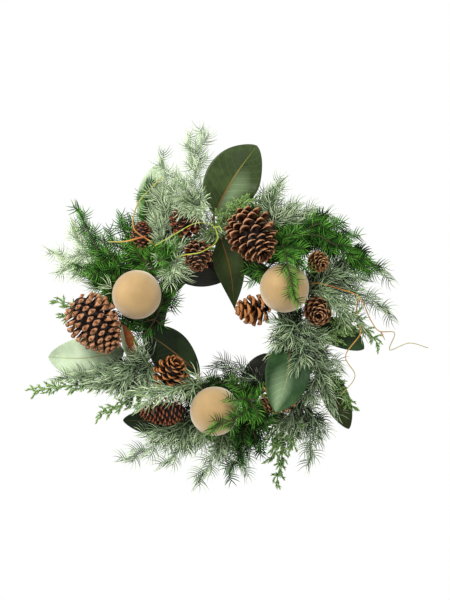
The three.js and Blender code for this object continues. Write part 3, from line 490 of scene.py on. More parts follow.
class Maker(Tree):
    """A Geometry Nodes tree with named inputs, which is run once on an object's mesh."""

    def __init__(self, name, inputs):
        group = bpy.data.node_groups.new(name, "GeometryNodeTree")
        super().__init__(group)
        face = group.interface
        face.new_socket("Geometry", in_out="INPUT", socket_type="NodeSocketGeometry")
        for label, kind in inputs.items():
            face.new_socket(label, in_out="INPUT", socket_type=f"NodeSocket{kind}")
        face.new_socket("Geometry", in_out="OUTPUT", socket_type="NodeSocketGeometry")
        self.given = group.nodes.new("NodeGroupInput").outputs
        self.result = group.nodes.new("NodeGroupOutput").inputs

    def chance(self, low, high, seed):
        """A random number for each point."""
        inputs = {"Min": low, "Max": high, "Seed": seed}
        return self.out(self.add("FunctionNodeRandomValue", inputs, data_type="FLOAT"))

    def named(self, label):
        node = self.add("GeometryNodeInputNamedAttribute", {"Name": label}, data_type="FLOAT")
        return self.out(node)

    def store(self, geometry, label, value, domain="POINT"):
        inputs = {"Geometry": geometry, "Name": label, "Value": value}
        return self.add(
            "GeometryNodeStoreNamedAttribute", inputs, data_type="FLOAT", domain=domain
        ).outputs[0]

    def combined(self, *parts):
        return self.add("ShaderNodeCombineXYZ", dict(enumerate(parts))).outputs[0]

    def index(self):
        return self.add("GeometryNodeInputIndex").outputs[0]

    def factor(self):
        """The share of the way along a curve."""
        return self.add("GeometryNodeSplineParameter").outputs["Factor"]

    def given_curves(self):
        """The lines of the object's mesh, as curves."""
        return self.add("GeometryNodeMeshToCurve", {"Mesh": self.given["Geometry"]}).outputs[0]

    def points_along(self, curve, spacing):
        inputs = {"Curve": curve, "Length": spacing}
        return self.add("GeometryNodeCurveToPoints", inputs, mode="LENGTH").outputs

    def turned(self, direction, beside):
        """The turn that carries Z to a direction and X towards another."""
        inputs = {"Primary Axis": direction, "Secondary Axis": beside}
        return self.add(
            "FunctionNodeAxesToRotation", inputs, primary_axis="Z", secondary_axis="X"
        ).outputs[0]

    def planted(self, points, shape, turn, scale, **more):
        """Copies of a shape on points."""
        inputs = {"Points": points, "Instance": shape, "Rotation": turn, "Scale": scale, **more}
        return self.add("GeometryNodeInstanceOnPoints", inputs).outputs[0]

    def realized(self, geometry):
        return self.add("GeometryNodeRealizeInstances", {"Geometry": geometry}).outputs[0]

    def thickened(self, curve, radius):
        inputs = {"Curve": curve, "Radius": radius}
        return self.add("GeometryNodeSetCurveRadius", inputs).outputs[0]

    def join(self, *parts):
        node = self.tree.nodes.new("GeometryNodeJoinGeometry")
        for part in parts:
            self.tree.links.new(part, node.inputs[0])
        return node.outputs[0]

    def tube(self, curve, sides):
        """A closed tube round a curve, as thick as the curve's radius."""
        profile = self.add("GeometryNodeCurvePrimitiveCircle", {"Resolution": sides, "Radius": 1.0})
        return self.add("GeometryNodeCurveToMesh", {
            "Curve": curve, "Profile Curve": profile.outputs[0], "Fill Caps": True,
            "Scale": self.add("GeometryNodeInputRadius").outputs[0],
        }).outputs[0]

    def painted(self, geometry, material):
        inputs = {"Geometry": geometry, "Material": material}
        return self.add("GeometryNodeSetMaterial", inputs).outputs[0]

    def finish(self, geometry):
        """Ends the tree with smooth faces."""
        smooth = self.add("GeometryNodeSetShadeSmooth", {"Geometry": geometry})
        self.tree.links.new(smooth.outputs[0], self.result[0])
        return self.tree


def meshed(shape, name):
    """Ends a bmesh as a mesh of that name."""
    mesh = bpy.data.meshes.new(name)
    shape.to_mesh(mesh)
    shape.free()
    return mesh


def added(name, data):
    """A new object of that mesh, lamp or camera, in the scene and at the origin."""
    thing = bpy.data.objects.new(name, data)
    bpy.context.collection.objects.link(thing)
    return thing


def run_maker(name, mesh, tree, values):
    """Runs a tree on a mesh, and returns the plain mesh object that it makes."""
    seedling = added(name + "_lines", mesh)
    modifier = seedling.modifiers.new("maker", "NODES")
    modifier.node_group = tree
    for item in tree.interface.items_tree:
        if item.in_out == "INPUT" and item.name in values:
            modifier[item.identifier] = values[item.name]
    bpy.context.view_layer.update()
    graph = bpy.context.evaluated_depsgraph_get()
    made = bpy.data.meshes.new_from_object(seedling.evaluated_get(graph))
    bpy.data.objects.remove(seedling)
    if not made.polygons:
        raise RuntimeError(f"{name} came out empty")
    made.name = name
    return added(name, made)


def settle(piece, node):
    """Makes a finished piece stand for its node."""
    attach(piece, "root")
    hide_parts(node)


# Materials

class Finish(Tree):
    """A material built on the Principled shader."""

    def __init__(self, name, roughness):
        self.material = bpy.data.materials.new(name)
        self.material.use_nodes = True
        super().__init__(self.material.node_tree)
        self.shader = self.tree.nodes["Principled BSDF"]
        self.shader.inputs["Roughness"].default_value = roughness
        self.object_place = self.add("ShaderNodeTexCoord").outputs["Object"]

    def set(self, label, value):
        self.feed(self.shader.inputs[label], value)

    def attribute(self, label):
        node = self.add("ShaderNodeAttribute", attribute_type="GEOMETRY", attribute_name=label)
        return node.outputs["Fac"]

    def grain(self, scale, detail=3.0, roughness=0.55):
        """Noise from 0 to 1, finer as its scale is larger."""
        return self.add("ShaderNodeTexNoise", {
            "Vector": self.object_place, "Scale": scale, "Detail": detail, "Roughness": roughness,
        }).outputs[0]

    def ramp(self, value, *stops):
        """Colours along a value, each stop a (share, colour)."""
        node = self.add("ShaderNodeValToRGB", {"Fac": value})
        steps = node.color_ramp.elements
        while len(steps) < len(stops):
            steps.new(0.5)
        for step, (share, colour) in zip(steps, stops):
            step.position = share
            step.color = tuple(colour[:3]) + (1.0,)
        return node.outputs["Color"]

    def mix(self, share, one, other):
        """One colour, with a share of another over it."""
        node = self.add("ShaderNodeMix", data_type="RGBA")
        self.feed(node.inputs[0], share)
        for socket, value in ((node.inputs[6], one), (node.inputs[7], other)):
            if not isinstance(value, bpy.types.NodeSocket):
                value = tuple(value[:3]) + (1.0,)
            self.feed(socket, value)
        return node.outputs[2]

    def bump(self, height, depth):
        """Relief of that depth in the light alone."""
        inputs = {"Height": height, "Distance": depth, "Strength": 1.0}
        self.set("Normal", self.add("ShaderNodeBump", inputs).outputs[0])


def shade(colour, share):
    """A colour made lighter or darker by a share."""
    return tuple(min(1.0, channel * share) for channel in colour[:3]) + (1.0,)


def needle_finish(name, look):
    """Needles: darker at the root as painted shade, each of its own tint, with frost or pale wax in
    flecks.
    """
    finish = Finish(name, 0.55)
    tint = finish.attribute("tint")
    along = finish.attribute("along")
    patch = finish.grain(38.0)
    mood = finish.math("MULTIPLY_ADD", tint, 0.5, finish.product(patch, 0.5))
    body = finish.ramp(mood, (0.22, look.dark), (0.5, look.middle), (0.78, look.light))
    # Painted shade: needles darken towards the root, deep in the spray
    root_shaded = finish.mix(finish.spread(along, 0.0, 0.45, 0.85, 0.0), body, shade(look.dark, 0.7))
    tipped = finish.mix(finish.spread(along, 0.55, 1.0, 0.0, look.tip_share), root_shaded, look.tip)
    frost = finish.spread(finish.grain(420.0, 2.0), 0.5, 0.68, 0.0, look.frost)
    finish.set("Base Color", finish.mix(frost, tipped, look.frost_colour))
    finish.set("Roughness", finish.spread(patch, 0.3, 0.7, 0.48, 0.7))
    finish.set("Specular IOR Level", 0.1)
    finish.bump(finish.grain(900.0, 1.0), 0.15 * MM)
    return finish.material


def stem_finish(name, colour):
    """Stems: a fine ridged bark with darker knots."""
    finish = Finish(name, 0.75)
    grain = finish.grain(260.0, 4.0)
    finish.set(
        "Base Color",
        finish.ramp(grain, (0.3, shade(colour, 0.45)), (0.5, colour), (0.75, shade(colour, 1.5))),
    )
    finish.set("Roughness", finish.spread(grain, 0.3, 0.7, 0.65, 0.85))
    finish.bump(grain, 0.3 * MM)
    return finish.material


def twig_finish(name, light, dark, end):
    """Twig bark: bands of a darker colour where the twig has aged, fresh bark at the end."""
    finish = Finish(name, 0.6)
    bands = finish.grain(34.0, 2.0)
    cracks = finish.grain(520.0, 3.0)
    body = finish.ramp(bands, (0.38, light), (0.62, dark))
    fresh = finish.mix(finish.spread(finish.attribute("along"), 0.35, 0.75, 0.0, 0.9), body, end)
    worn = finish.spread(cracks, 0.35, 0.55, 0.4, 0.0)
    finish.set("Base Color", finish.mix(worn, fresh, shade(dark, 0.5)))
    finish.set("Roughness", finish.spread(cracks, 0.3, 0.7, 0.5, 0.75))
    finish.bump(cracks, 0.3 * MM)
    return finish.material


def vine_finish():
    """Vine cane: long fibres of dark bark."""
    finish = Finish("vine_cane", 0.85)
    fibre = finish.grain(160.0, 5.0, 0.7)
    finish.set(
        "Base Color",
        finish.ramp(
            fibre, (0.32, srgb(12, 9, 6)), (0.52, srgb(34, 25, 17)), (0.7, srgb(66, 51, 36)),
        ),
    )
    finish.set("Roughness", finish.spread(fibre, 0.3, 0.7, 0.75, 0.95))
    finish.bump(fibre, 1.2 * MM)
    return finish.material


def velvet_finish(colour):
    """Velvet flock: a pale nap at the rim over a warm body, with a fine pile."""
    finish = Finish("velvet", 0.95)
    pile = finish.grain(1500.0, 2.0)
    brushed = finish.grain(26.0, 3.0)
    mottled = finish.math("MULTIPLY_ADD", pile, 0.45, finish.product(brushed, 0.55))
    finish.set(
        "Base Color",
        finish.ramp(
            mottled, (0.3, shade(colour, 0.74)), (0.5, colour), (0.72, shade(colour, 1.24)),
        ),
    )
    finish.set("Sheen Weight", 1.0)
    finish.set("Sheen Roughness", 0.5)
    finish.set("Sheen Tint", srgb(255, 246, 230))
    finish.set("Coat Weight", 0.5)
    finish.set("Coat Roughness", 0.6)
    finish.set("Specular IOR Level", 0.15)
    finish.bump(pile, 0.25 * MM)
    return finish.material


# Leaf veins: the side veins along a leaf, how far they sweep to its tip and how far they wander,
# and the width of the midrib beside the leaf's, at the base and at the tip
SIDE_VEINS = 11.0
VEIN_SWEEP = 0.42
VEIN_WANDER = 0.035
MIDRIB_WIDTHS = (0.03, 0.009)


def leaf_finish(name, look):
    """Leaf skin: a midrib, thin side veins that sweep to the tip, a mottled blade and a patch of
    painted light, a painted highlight on glossy leaves and painted shade on pale ones.

    The leaf's own map holds the share along the rib and, from 0 to 1, the share across.
    """
    finish = Finish(name, look["roughness"])
    leaf_map = finish.add("ShaderNodeUVMap", uv_map="leaf").outputs[0]
    split = finish.add("ShaderNodeSeparateXYZ", {0: leaf_map})
    along, across = split.outputs[0], split.outputs[1]
    off_rib = finish.math("ABSOLUTE", finish.math("SUBTRACT", across, 0.5))
    wander = finish.product(finish.grain(30.0), VEIN_WANDER)
    start = finish.math("ADD", along, wander)
    sweep = finish.math("MULTIPLY_ADD", off_rib, -VEIN_SWEEP, start)
    phase = finish.math("FRACT", finish.product(sweep, SIDE_VEINS))
    from_vein = finish.math("ABSOLUTE", finish.math("SUBTRACT", phase, 0.5))
    vein = finish.spread(from_vein, 0.0, 0.075, 1.0, 0.0)
    rib_width = finish.spread(along, 0.0, 1.0, *MIDRIB_WIDTHS)
    rib = finish.spread(finish.math("DIVIDE", off_rib, rib_width), 0.55, 1.0, 1.0, 0.0)
    mottle = finish.grain(24.0, 4.0)
    flecks = finish.grain(300.0, 2.0)
    blade = finish.ramp(
        mottle, (0.3, shade(look["colour"], 0.72)), (0.5, look["colour"]), (0.72, look["light"]),
    )
    blade = finish.mix(finish.spread(flecks, 0.5, 0.8, 0.0, 0.35), blade, look["light"])
    veined = finish.mix(finish.product(vein, look["veins"]), blade, look["light"])
    rib_colour = finish.ramp(along, (0.15, look["rib"]), (0.9, look["rib_tip"]))
    ribbed = finish.mix(finish.product(rib, look["rib_share"]), veined, rib_colour)
    # A patch of painted light: lighter where a glossy leaf catches the light, darker where a pale
    # leaf lies in shade
    patch_along, patch_across, shorten, narrow, patch_share = look.get("painted_light_patch", NO_PAINTED_LIGHT)
    off_along = finish.product(finish.math("SUBTRACT", along, patch_along), shorten)
    off_across = finish.product(finish.math("SUBTRACT", across, patch_across), narrow)
    squares = [finish.math("POWER", off, 2.0) for off in (off_along, off_across)]
    off_patch = finish.math("SQRT", finish.math("ADD", *squares))
    painted_patch = finish.spread(off_patch, 0.05, 0.62, patch_share, 0.0)
    if "painted_light_side" in look:
        painted_patch = finish.product(painted_patch, finish.spread(across, 0.46, 0.5, 1.0, 0.0))
    painted_patch = finish.product(painted_patch, finish.math("MULTIPLY_ADD", vein, 0.5, 0.8))
    patched = finish.mix(painted_patch, ribbed, look.get("painted_light_colour", look["light"]))
    edge = finish.spread(off_rib, 0.47, 0.5, 0.0, 0.6)
    finish.set("Base Color", finish.mix(edge, patched, look["edge"]))
    finish.set(
        "Roughness",
        finish.spread(mottle, 0.3, 0.7, look["roughness"] - 0.06, look["roughness"] + 0.1),
    )
    finish.set("Specular IOR Level", look["gloss"])
    height = finish.math("MULTIPLY_ADD", vein, -0.35, finish.product(flecks, 0.25))
    finish.bump(finish.math("MULTIPLY_ADD", rib, look["rib_rise"], height), 0.5 * MM)
    return finish.material


def scale_finish(name, dark, middle, light):
    """Cone scales: near black at the root as painted shade between the scales, woody brown, and tan
    on the rim, which is partly real wear and partly painted highlight.
    """
    finish = Finish(name, 0.7)
    along = finish.attribute("along")
    rim = finish.attribute("rim")
    tint = finish.attribute("tint")
    grain = finish.grain(240.0, 4.0)
    streaks = finish.math("MULTIPLY_ADD", finish.math("SUBTRACT", grain, 0.5), 0.6, along)
    toned = finish.math("MULTIPLY_ADD", finish.math("SUBTRACT", tint, 0.5), 0.18, streaks)
    # Painted shade: near black where a scale's root lies between the others
    body = finish.ramp(toned, (0.3, shade(dark, 0.5)), (0.68, dark), (0.87, middle), (1.0, light))
    # The rim's tan: partly real wear and partly painted highlight on the scale's edges
    worn = finish.product(rim, finish.spread(grain, 0.35, 0.6, 0.35, 0.9))
    finish.set("Base Color", finish.mix(worn, body, light))
    finish.set("Roughness", finish.spread(grain, 0.3, 0.7, 0.55, 0.85))
    finish.set("Specular IOR Level", 0.14)
    finish.bump(grain, 0.6 * MM)
    return finish.material


def floor_finish():
    """The studio floor: a pale matt surface, a little uneven."""
    finish = Finish("floor", 0.9)
    grain = finish.grain(6.0)
    finish.set("Base Color", finish.ramp(grain, (0.3, (0.78,) * 3), (0.7, (0.84,) * 3)))
    return finish.material


# Sizes and colours that a user would change

def size_property(name, description, millimetres):
    return FloatProperty(
        name=name, description=description, default=millimetres * MM, min=0.0,
        subtype="DISTANCE", unit="LENGTH",
    )


def angle_property(name, description, degrees):
    return FloatProperty(
        name=name, description=description, default=math.radians(degrees),
        subtype="ANGLE", unit="ROTATION",
    )


def share_property(name, description, share):
    return FloatProperty(
        name=name, description=description, default=share, min=0.0, max=3.0, subtype="FACTOR",
    )


def colour_property(name, description, channels):
    return FloatVectorProperty(
        name=name, description=description, default=srgb(*channels), size=4,
        min=0.0, max=1.0, subtype="COLOR",
    )


def seed_property(name, description, seed):
    return IntProperty(name=name, description=description, default=seed)


# What a user can change on one kind of spray: the sizes that its node tree takes as its inputs,
# and the rest
SPRAY_SIZES = {
    "needle_length": (size_property, "Length of a full needle"),
    "needle_width": (size_property, "Width of a needle at its middle"),
    "needle_spacing": (size_property, "Stem length for each needle"),
    "needle_lean": (angle_property, "Angle of a needle to its stem"),
    "needle_curl": (share_property, "Bend of a needle to the stem's tip"),
    "needle_turn": (angle_property, "Turn round the stem to the next needle"),
    "turn_spread": (angle_property, "How far a needle strays from its row"),
    "flatness": (share_property, "0 for a flat comb, 1 for needles all round"),
    "stem_radius": (size_property, "Radius of the stem at its foot"),
    "shoot_spacing": (size_property, "Stem length for each side shoot"),
    "shoot_length": (size_property, "Length of a side shoot"),
    "shoot_lean": (angle_property, "Angle of a side shoot to its stem"),
    "twiglet_spacing": (size_property, "Shoot length for each twiglet"),
    "twiglet_length": (size_property, "Length of a twiglet"),
    "under_length": (size_property, "Length of the darker shoots behind"),
}
SPRAY_LOOKS = {
    "tip_share": (share_property, "How much of the tip colour the tips take"),
    "frost": (share_property, "How much of the frost colour shows"),
    "dark": (colour_property, "Colour of the darkest needles"),
    "middle": (colour_property, "Colour of most needles"),
    "light": (colour_property, "Colour of the lightest needles"),
    "tip": (colour_property, "Colour at the needle tips"),
    "frost_colour": (colour_property, "Colour of the frost"),
    "stem": (colour_property, "Colour of the stems"),
    "seed": (seed_property, "Seed of every random draw"),
}


def input_name(field):
    """The name of the node tree's input for a size."""
    return field.replace("_", " ").title()


def spray_settings(label, **defaults):
    """A PropertyGroup for one kind of spray, with its own defaults for every field."""
    fields = {
        field: make(field.replace("_", " ").capitalize(), note, defaults[field])
        for field, (make, note) in {**SPRAY_SIZES, **SPRAY_LOOKS}.items()
    }
    return type(label, (bpy.types.PropertyGroup,), {"__annotations__": fields})


FrostedSettings = spray_settings(
    "FrostedSettings", needle_length=21, needle_width=1.75, needle_spacing=1.7, needle_lean=52,
    needle_curl=0.2, needle_turn=180, turn_spread=34, flatness=0.75, stem_radius=1.4,
    shoot_spacing=15, shoot_length=37, shoot_lean=40, twiglet_spacing=900, twiglet_length=0,
    under_length=44, tip_share=0.55, frost=0.2, dark=(14, 32, 10), middle=(134, 164, 114),
    light=(220, 238, 192), tip=(218, 232, 194), frost_colour=(228, 238, 214),
    stem=(136, 162, 116), seed=3,
)
FirSettings = spray_settings(
    "FirSettings", needle_length=17, needle_width=2.2, needle_spacing=1.6, needle_lean=58,
    needle_curl=0.1, needle_turn=180, turn_spread=16, flatness=0.5, stem_radius=1.1,
    shoot_spacing=19, shoot_length=34, shoot_lean=42, twiglet_spacing=900, twiglet_length=0,
    under_length=46, tip_share=0.4, frost=0.05, dark=(8, 34, 4), middle=(46, 102, 28),
    light=(100, 162, 56), tip=(108, 156, 66), frost_colour=(116, 156, 92), stem=(74, 58, 30),
    seed=5,
)
CedarSettings = spray_settings(
    "CedarSettings", needle_length=5.5, needle_width=2.3, needle_spacing=1.5, needle_lean=34,
    needle_curl=0.1, needle_turn=137.5, turn_spread=20, flatness=0.8, stem_radius=1.2,
    shoot_spacing=9, shoot_length=30, shoot_lean=38, twiglet_spacing=7, twiglet_length=13,
    under_length=26, tip_share=0.6, frost=0.15, dark=(24, 52, 18), middle=(92, 136, 72),
    light=(158, 192, 112), tip=(178, 200, 114), frost_colour=(162, 190, 146),
    stem=(98, 118, 66), seed=7,
)
SageSettings = spray_settings(
    "SageSettings", needle_length=25, needle_width=2.0, needle_spacing=2.0, needle_lean=46,
    needle_curl=0.2, needle_turn=180, turn_spread=60, flatness=0.8, stem_radius=1.5,
    shoot_spacing=20, shoot_length=28, shoot_lean=42, twiglet_spacing=900, twiglet_length=0,
    under_length=30, tip_share=0.4, frost=0.2, dark=(40, 62, 30), middle=(142, 170, 120),
    light=(204, 224, 176), tip=(196, 212, 170), frost_colour=(208, 220, 190),
    stem=(140, 166, 122), seed=11,
)


class WreathSettings(bpy.types.PropertyGroup):
    """The sizes and colours of the whole wreath"""
    ball_colour: colour_property("Velvet", "Colour of the velvet balls", (171, 139, 88))
    ball_pile: size_property("Pile", "Unevenness of the velvet's pile", 0.5)
    ball_nap: size_property("Nap", "Height of the flock on the ball", 1.3)
    cane_radius: size_property("Cane radius", "Radius of one vine cane", 7.6)
    leaf_thickness: size_property("Leaf thickness", "Thickness of a leaf's blade", 1.0)
    leaf_wave: size_property("Leaf wave", "Height of the waves along a leaf's edge", 2.6)
    twig_radius: size_property("Twig radius", "Radius of a twig at its foot", 1.15)
    scale_brown: colour_property("Scale brown", "Colour of a cone scale", (106, 46, 16))
    # The scale rim's colour is partly real wear and partly painted highlight
    scale_rim_wear_and_highlight: colour_property("Scale rim", "Colour of a scale's worn rim", (188, 140, 102))
    frosted: PointerProperty(type=FrostedSettings)
    fir: PointerProperty(type=FirSettings)
    cedar: PointerProperty(type=CedarSettings)
    sage: PointerProperty(type=SageSettings)


# A length that is as good as none
NO_LENGTH = 1e-6

# Stems: how deep their feet stand in the ring's section, the step and the fewest points of a
# route, how much of the solid stems' bare start stays bare here, the length after which needles
# are full, how much a stem thins, and how much of a needle and a twiglet it is cut short by
FOOT_SHARE = 0.75
ROUTE_STEP = 4 * MM
FEWEST_POINTS = 6
BARE_SHARE = 0.08
FULL_AFTER = 10 * MM
STEM_TAPER = 0.45
NEEDLE_TRIM = 0.85
TWIGLET_TRIM = 0.9


def smooth_route(points, step):
    """Points a step apart on a smooth curve through the given ones."""
    guides = [points[0] * 2 - points[1], *points, points[-1] * 2 - points[-2]]
    route = [points[0]]
    for stretch in zip(guides, guides[1:], guides[2:], guides[3:]):
        knots = [0.0]
        for one, other in zip(stretch, stretch[1:]):
            knots.append(knots[-1] + max((other - one).length, NO_LENGTH) ** 0.5)
        count = max(2, round((stretch[2] - stretch[1]).length / step))
        for index in range(1, count + 1):
            at = knots[1] + (knots[2] - knots[1]) * index / count
            level = list(stretch)
            for width in (1, 2, 3):
                for k in range(4 - width):
                    low, high = (1, 2) if width == 3 else (k, k + width)
                    share = (at - knots[low]) / (knots[high] - knots[low])
                    level[k] = level[k] + (level[k + 1] - level[k]) * share
            route.append(level[0])
    return route


def foot_on_ring(start):
    """The point where a stem that starts there meets the canes."""
    centre = Vector((0, 0, -RING_INSIDE))
    outward = Vector((start.x, 0, start.z + RING_INSIDE)).normalized() * RING_RADIUS
    core = centre + outward
    return core + (start - core).normalized() * SECTION_RADIUS * FOOT_SHARE


def solid_neighbours():
    """One mesh of everything that stems and needles must keep clear of."""
    kept = bmesh.new()
    hard = ("velvet_ball", "cone", "small_cone", "leaf", "vine_ring")
    for name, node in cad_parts.items():
        if name.startswith(hard):
            kept.from_mesh(node.data)
    return meshed(kept, "neighbours")


def clear_route(route, neighbours, radius):
    """Moves a route's points off the neighbours that they would run into."""
    wanted = radius + STEM_GAP
    rounds, beside, firmness = 30, 3, 0.6
    for _ in range(rounds):
        for index in range(2, len(route)):
            near, _, _, distance = neighbours.find_nearest(route[index])
            if near is not None and distance < wanted:
                push = (route[index] - near).normalized() * (wanted - distance)
                for off in range(-beside, beside + 1):
                    if 1 <= index + off < len(route):
                        route[index + off] += push * firmness * (1 - abs(off) / (beside + 1))
            route[index].y = min(route[index].y, BACK_DEPTH - radius - WALL_GAP)
    return route


def stem_lines(name, routes, neighbours, radius, trim=0.0):
    """A mesh of the stems' centre lines, each cut short by a length for its tip needles."""
    lines = bmesh.new()
    fullness = lines.verts.layers.float.new("fullness")
    thickness = lines.verts.layers.float.new("stem_radius")
    trunk = None
    for bare, points in routes:
        guides = [place(point) for point in points]
        if trunk is None:
            guides.insert(0, foot_on_ring(guides[0]))
        else:
            guides[0] = min(trunk, key=lambda spot: (spot - guides[0]).length).copy()
        route = clear_route(smooth_route(guides, ROUTE_STEP), neighbours, radius)
        while len(route) > FEWEST_POINTS and (route[-2] - guides[-1]).length < trim:
            route.pop()
        trunk = trunk or route
        walked = 0.0
        previous = None
        for index, point in enumerate(route):
            vertex = lines.verts.new(point)
            if previous:
                walked += (vertex.co - previous.co).length
                lines.edges.new((previous, vertex))
            share = (walked - bare * BARE_SHARE * MM) / FULL_AFTER
            vertex[fullness] = min(1.0, max(0.0, share))
            vertex[thickness] = 1 - STEM_TAPER * index / len(route)
            previous = vertex
    return meshed(lines, name)


# Shoots: the shortest that is made, how thick one is beside its stem, how far it strays round the
# stem and off its lean, in radians, how flat the shoots lie, and how short and long one may be
# beside the usual length
SHORTEST_SHOOT = 4 * MM
SHOOT_THICKNESS = 0.42
SHOOT_STRAY = 0.6
SHOOT_SWAY = 0.15
SHOOT_FLATNESS = 0.8
SHOOT_LENGTHS = (0.65, 1.1)

# Shoots behind, darker as painted shade: their spacing beside the other shoots', their lean in
# radians, how far they turn to the back, and how much darker their needles are painted
UNDER_SPACING = 0.62
UNDER_LEAN = 1.1
UNDER_SINK = 0.55
UNDER_PAINTED_SHADE = 1.45

# Needles: the shortest that is made, how much less they lean and how much shorter they are at
# the tip of a shoot, and how much each differs from the next where they stray
SHORTEST_NEEDLE = 2.5 * MM
TIP_CLOSING = 0.62
TIP_SHORTENING = 0.22
STRAY_SHARE = 0.22

# The turn from one cone scale to the next, in radians
GOLDEN_TURN = 2.39996


def stem_frame(maker, tangent):
    """Two directions beside a stem: one in the wreath's own plane, one towards the front."""
    side = maker.vector("NORMALIZE", maker.vector("CROSS_PRODUCT", tangent, tuple(FORWARD)))
    front = maker.vector("NORMALIZE", maker.vector("CROSS_PRODUCT", side, tangent))
    return side, front


def leaning(maker, tangent, side, front, lean, turn, flatness):
    """The direction that leans off a stem by one angle, turned round it by another."""
    out = maker.math("SINE", lean)
    along = maker.scaled(tangent, maker.math("COSINE", lean))
    aside = maker.scaled(side, maker.product(out, maker.math("COSINE", turn)))
    raised = maker.product(out, maker.math("SINE", turn), flatness)
    total = maker.vector("ADD", maker.vector("ADD", along, aside), maker.scaled(front, raised))
    return maker.vector("NORMALIZE", total)


def off_wall(maker, direction, reach):
    """The same direction, turned as far as it must be for that reach to stay off the wall."""
    spot = maker.add("GeometryNodeInputPosition").outputs[0]
    depth = maker.add("ShaderNodeSeparateXYZ", {0: spot}).outputs[1]
    parts = maker.add("ShaderNodeSeparateXYZ", {0: direction}).outputs
    room = maker.math("MAXIMUM", maker.math("SUBTRACT", BACK_DEPTH - WALL_GAP, depth), 0.0)
    back = maker.math("MINIMUM", parts[1], maker.math("DIVIDE", room, reach))
    return maker.combined(parts[0], back, parts[2])


def sprout(maker, stems, spacing, length, lean, seed, shrink=(0.0, 1.0, 1.1, 0.42), sink=0.0):
    """Side shoots along stems, in turn to the left and the right, shorter towards the tip.

    Shrink carries the share along the stem to the share of the length, and sink turns the
    shoots to the back.
    """
    points = maker.points_along(stems, spacing)
    tangent = points["Tangent"]
    side, front = stem_frame(maker, tangent)
    half_turn = maker.product(maker.math("MODULO", maker.index(), 2.0), math.pi)
    turn = maker.math("ADD", half_turn, maker.chance(-SHOOT_STRAY, SHOOT_STRAY, seed))
    slant = maker.math("ADD", lean, maker.chance(-SHOOT_SWAY, SHOOT_SWAY, 1))
    direction = leaning(maker, tangent, side, front, slant, turn, SHOOT_FLATNESS)
    if sink:
        lowered = maker.vector("ADD", direction, maker.scaled(front, -sink))
        direction = maker.vector("NORMALIZE", lowered)
    bent = maker.add("GeometryNodeCurveQuadraticBezier", {
        "Resolution": 7, "Start": (0, 0, 0), "Middle": (-0.05, 0, 0.5), "End": (0.16, 0, 0.98),
    }).outputs[0]
    shorter = maker.spread(maker.named("share"), *shrink)
    reach = maker.product(
        length, maker.chance(*SHOOT_LENGTHS, 2), shorter, maker.named("fullness")
    )
    direction = off_wall(maker, direction, reach)
    reach = free_reach(maker, direction, reach)
    shoots = maker.planted(
        points["Points"], bent, maker.turned(direction, tangent),
        maker.combined(reach, reach, reach),
        Selection=maker.math("GREATER_THAN", reach, SHORTEST_SHOOT),
    )
    shoots = maker.store(maker.realized(shoots), "share", maker.factor())
    shoots = maker.store(shoots, "fullness", 1.0)
    shoots = maker.store(shoots, "under", 1.0 if sink else 0.0)
    return maker.store(shoots, "stem_radius", SHOOT_THICKNESS)


def spray_tree():
    """Stems from lines, two orders of side shoots, and needles along them all."""
    maker = Maker("needle_spray", {
        **{input_name(field): "Float" for field in SPRAY_SIZES},
        "Tone": "Float", "Seed": "Int", "Neighbours": "Object",
        "Stem Material": "Material", "Needle Material": "Material",
    })
    given = maker.given
    trunk = maker.store(maker.given_curves(), "share", maker.factor())
    under = sprout(
        maker, trunk, maker.product(given["Shoot Spacing"], UNDER_SPACING), given["Under Length"],
        UNDER_LEAN, 21, shrink=(0.0, 0.7, 1.0, 0.0), sink=UNDER_SINK,
    )
    shoots = sprout(
        maker, trunk, given["Shoot Spacing"], given["Shoot Length"], given["Shoot Lean"],
        given["Seed"],
    )
    twiglets = sprout(
        maker, shoots, given["Twiglet Spacing"], given["Twiglet Length"], given["Shoot Lean"], 9
    )
    stems = maker.join(trunk, shoots, twiglets, under)
    shaped = maker.thickened(stems, maker.product(maker.named("stem_radius"), given["Stem Radius"]))
    wood = maker.painted(maker.tube(shaped, 5), given["Stem Material"])

    roots = maker.points_along(stems, given["Needle Spacing"])
    tangent = roots["Tangent"]
    side, front = stem_frame(maker, tangent)
    behind = maker.product(given["Turn Spread"], -1.0)
    stray = maker.chance(behind, given["Turn Spread"], 4)
    turn = maker.math("MULTIPLY_ADD", maker.index(), given["Needle Turn"], stray)
    towards_tip = maker.math("POWER", maker.named("share"), 5.0)
    least = maker.math("SUBTRACT", 1.0, maker.product(given["Turn Spread"], STRAY_SHARE))
    lean = maker.product(
        given["Needle Lean"], maker.chance(least, 1.1, 5),
        maker.math("MULTIPLY_ADD", towards_tip, -TIP_CLOSING, 1.0),
    )
    direction = leaning(maker, tangent, side, front, lean, turn, given["Flatness"])
    full = maker.product(
        given["Needle Length"], maker.chance(least, 1.12, 6),
        maker.math("MULTIPLY_ADD", towards_tip, -TIP_SHORTENING, 1.0), maker.named("fullness"),
    )
    direction = off_wall(maker, direction, full)
    length = free_reach(maker, direction, full)
    broad = maker.product(length, maker.math("MULTIPLY_ADD", maker.named("under"), 0.9, 1.0))
    needles = maker.planted(
        roots["Points"], needle_shape(maker), maker.turned(direction, tangent),
        maker.combined(broad, broad, length),
        Selection=maker.math("GREATER_THAN", length, SHORTEST_NEEDLE),
    )
    tint = maker.math("ADD", maker.chance(0.0, 1.0, 8), given["Tone"])
    # Painted shade: darker towards the start of a stem, deep in the spray, and lighter towards its
    # tip
    tint = maker.math("ADD", tint, maker.spread(maker.named("share"), 0.0, 1.0, -0.35, 0.3))
    # Painted shade: the needles of the shoots behind are darker
    tint = maker.math("MULTIPLY_ADD", maker.named("under"), -UNDER_PAINTED_SHADE, tint)
    needles = maker.realized(maker.store(needles, "tint", tint, "INSTANCE"))
    return maker.finish(maker.join(wood, maker.painted(needles, given["Needle Material"])))


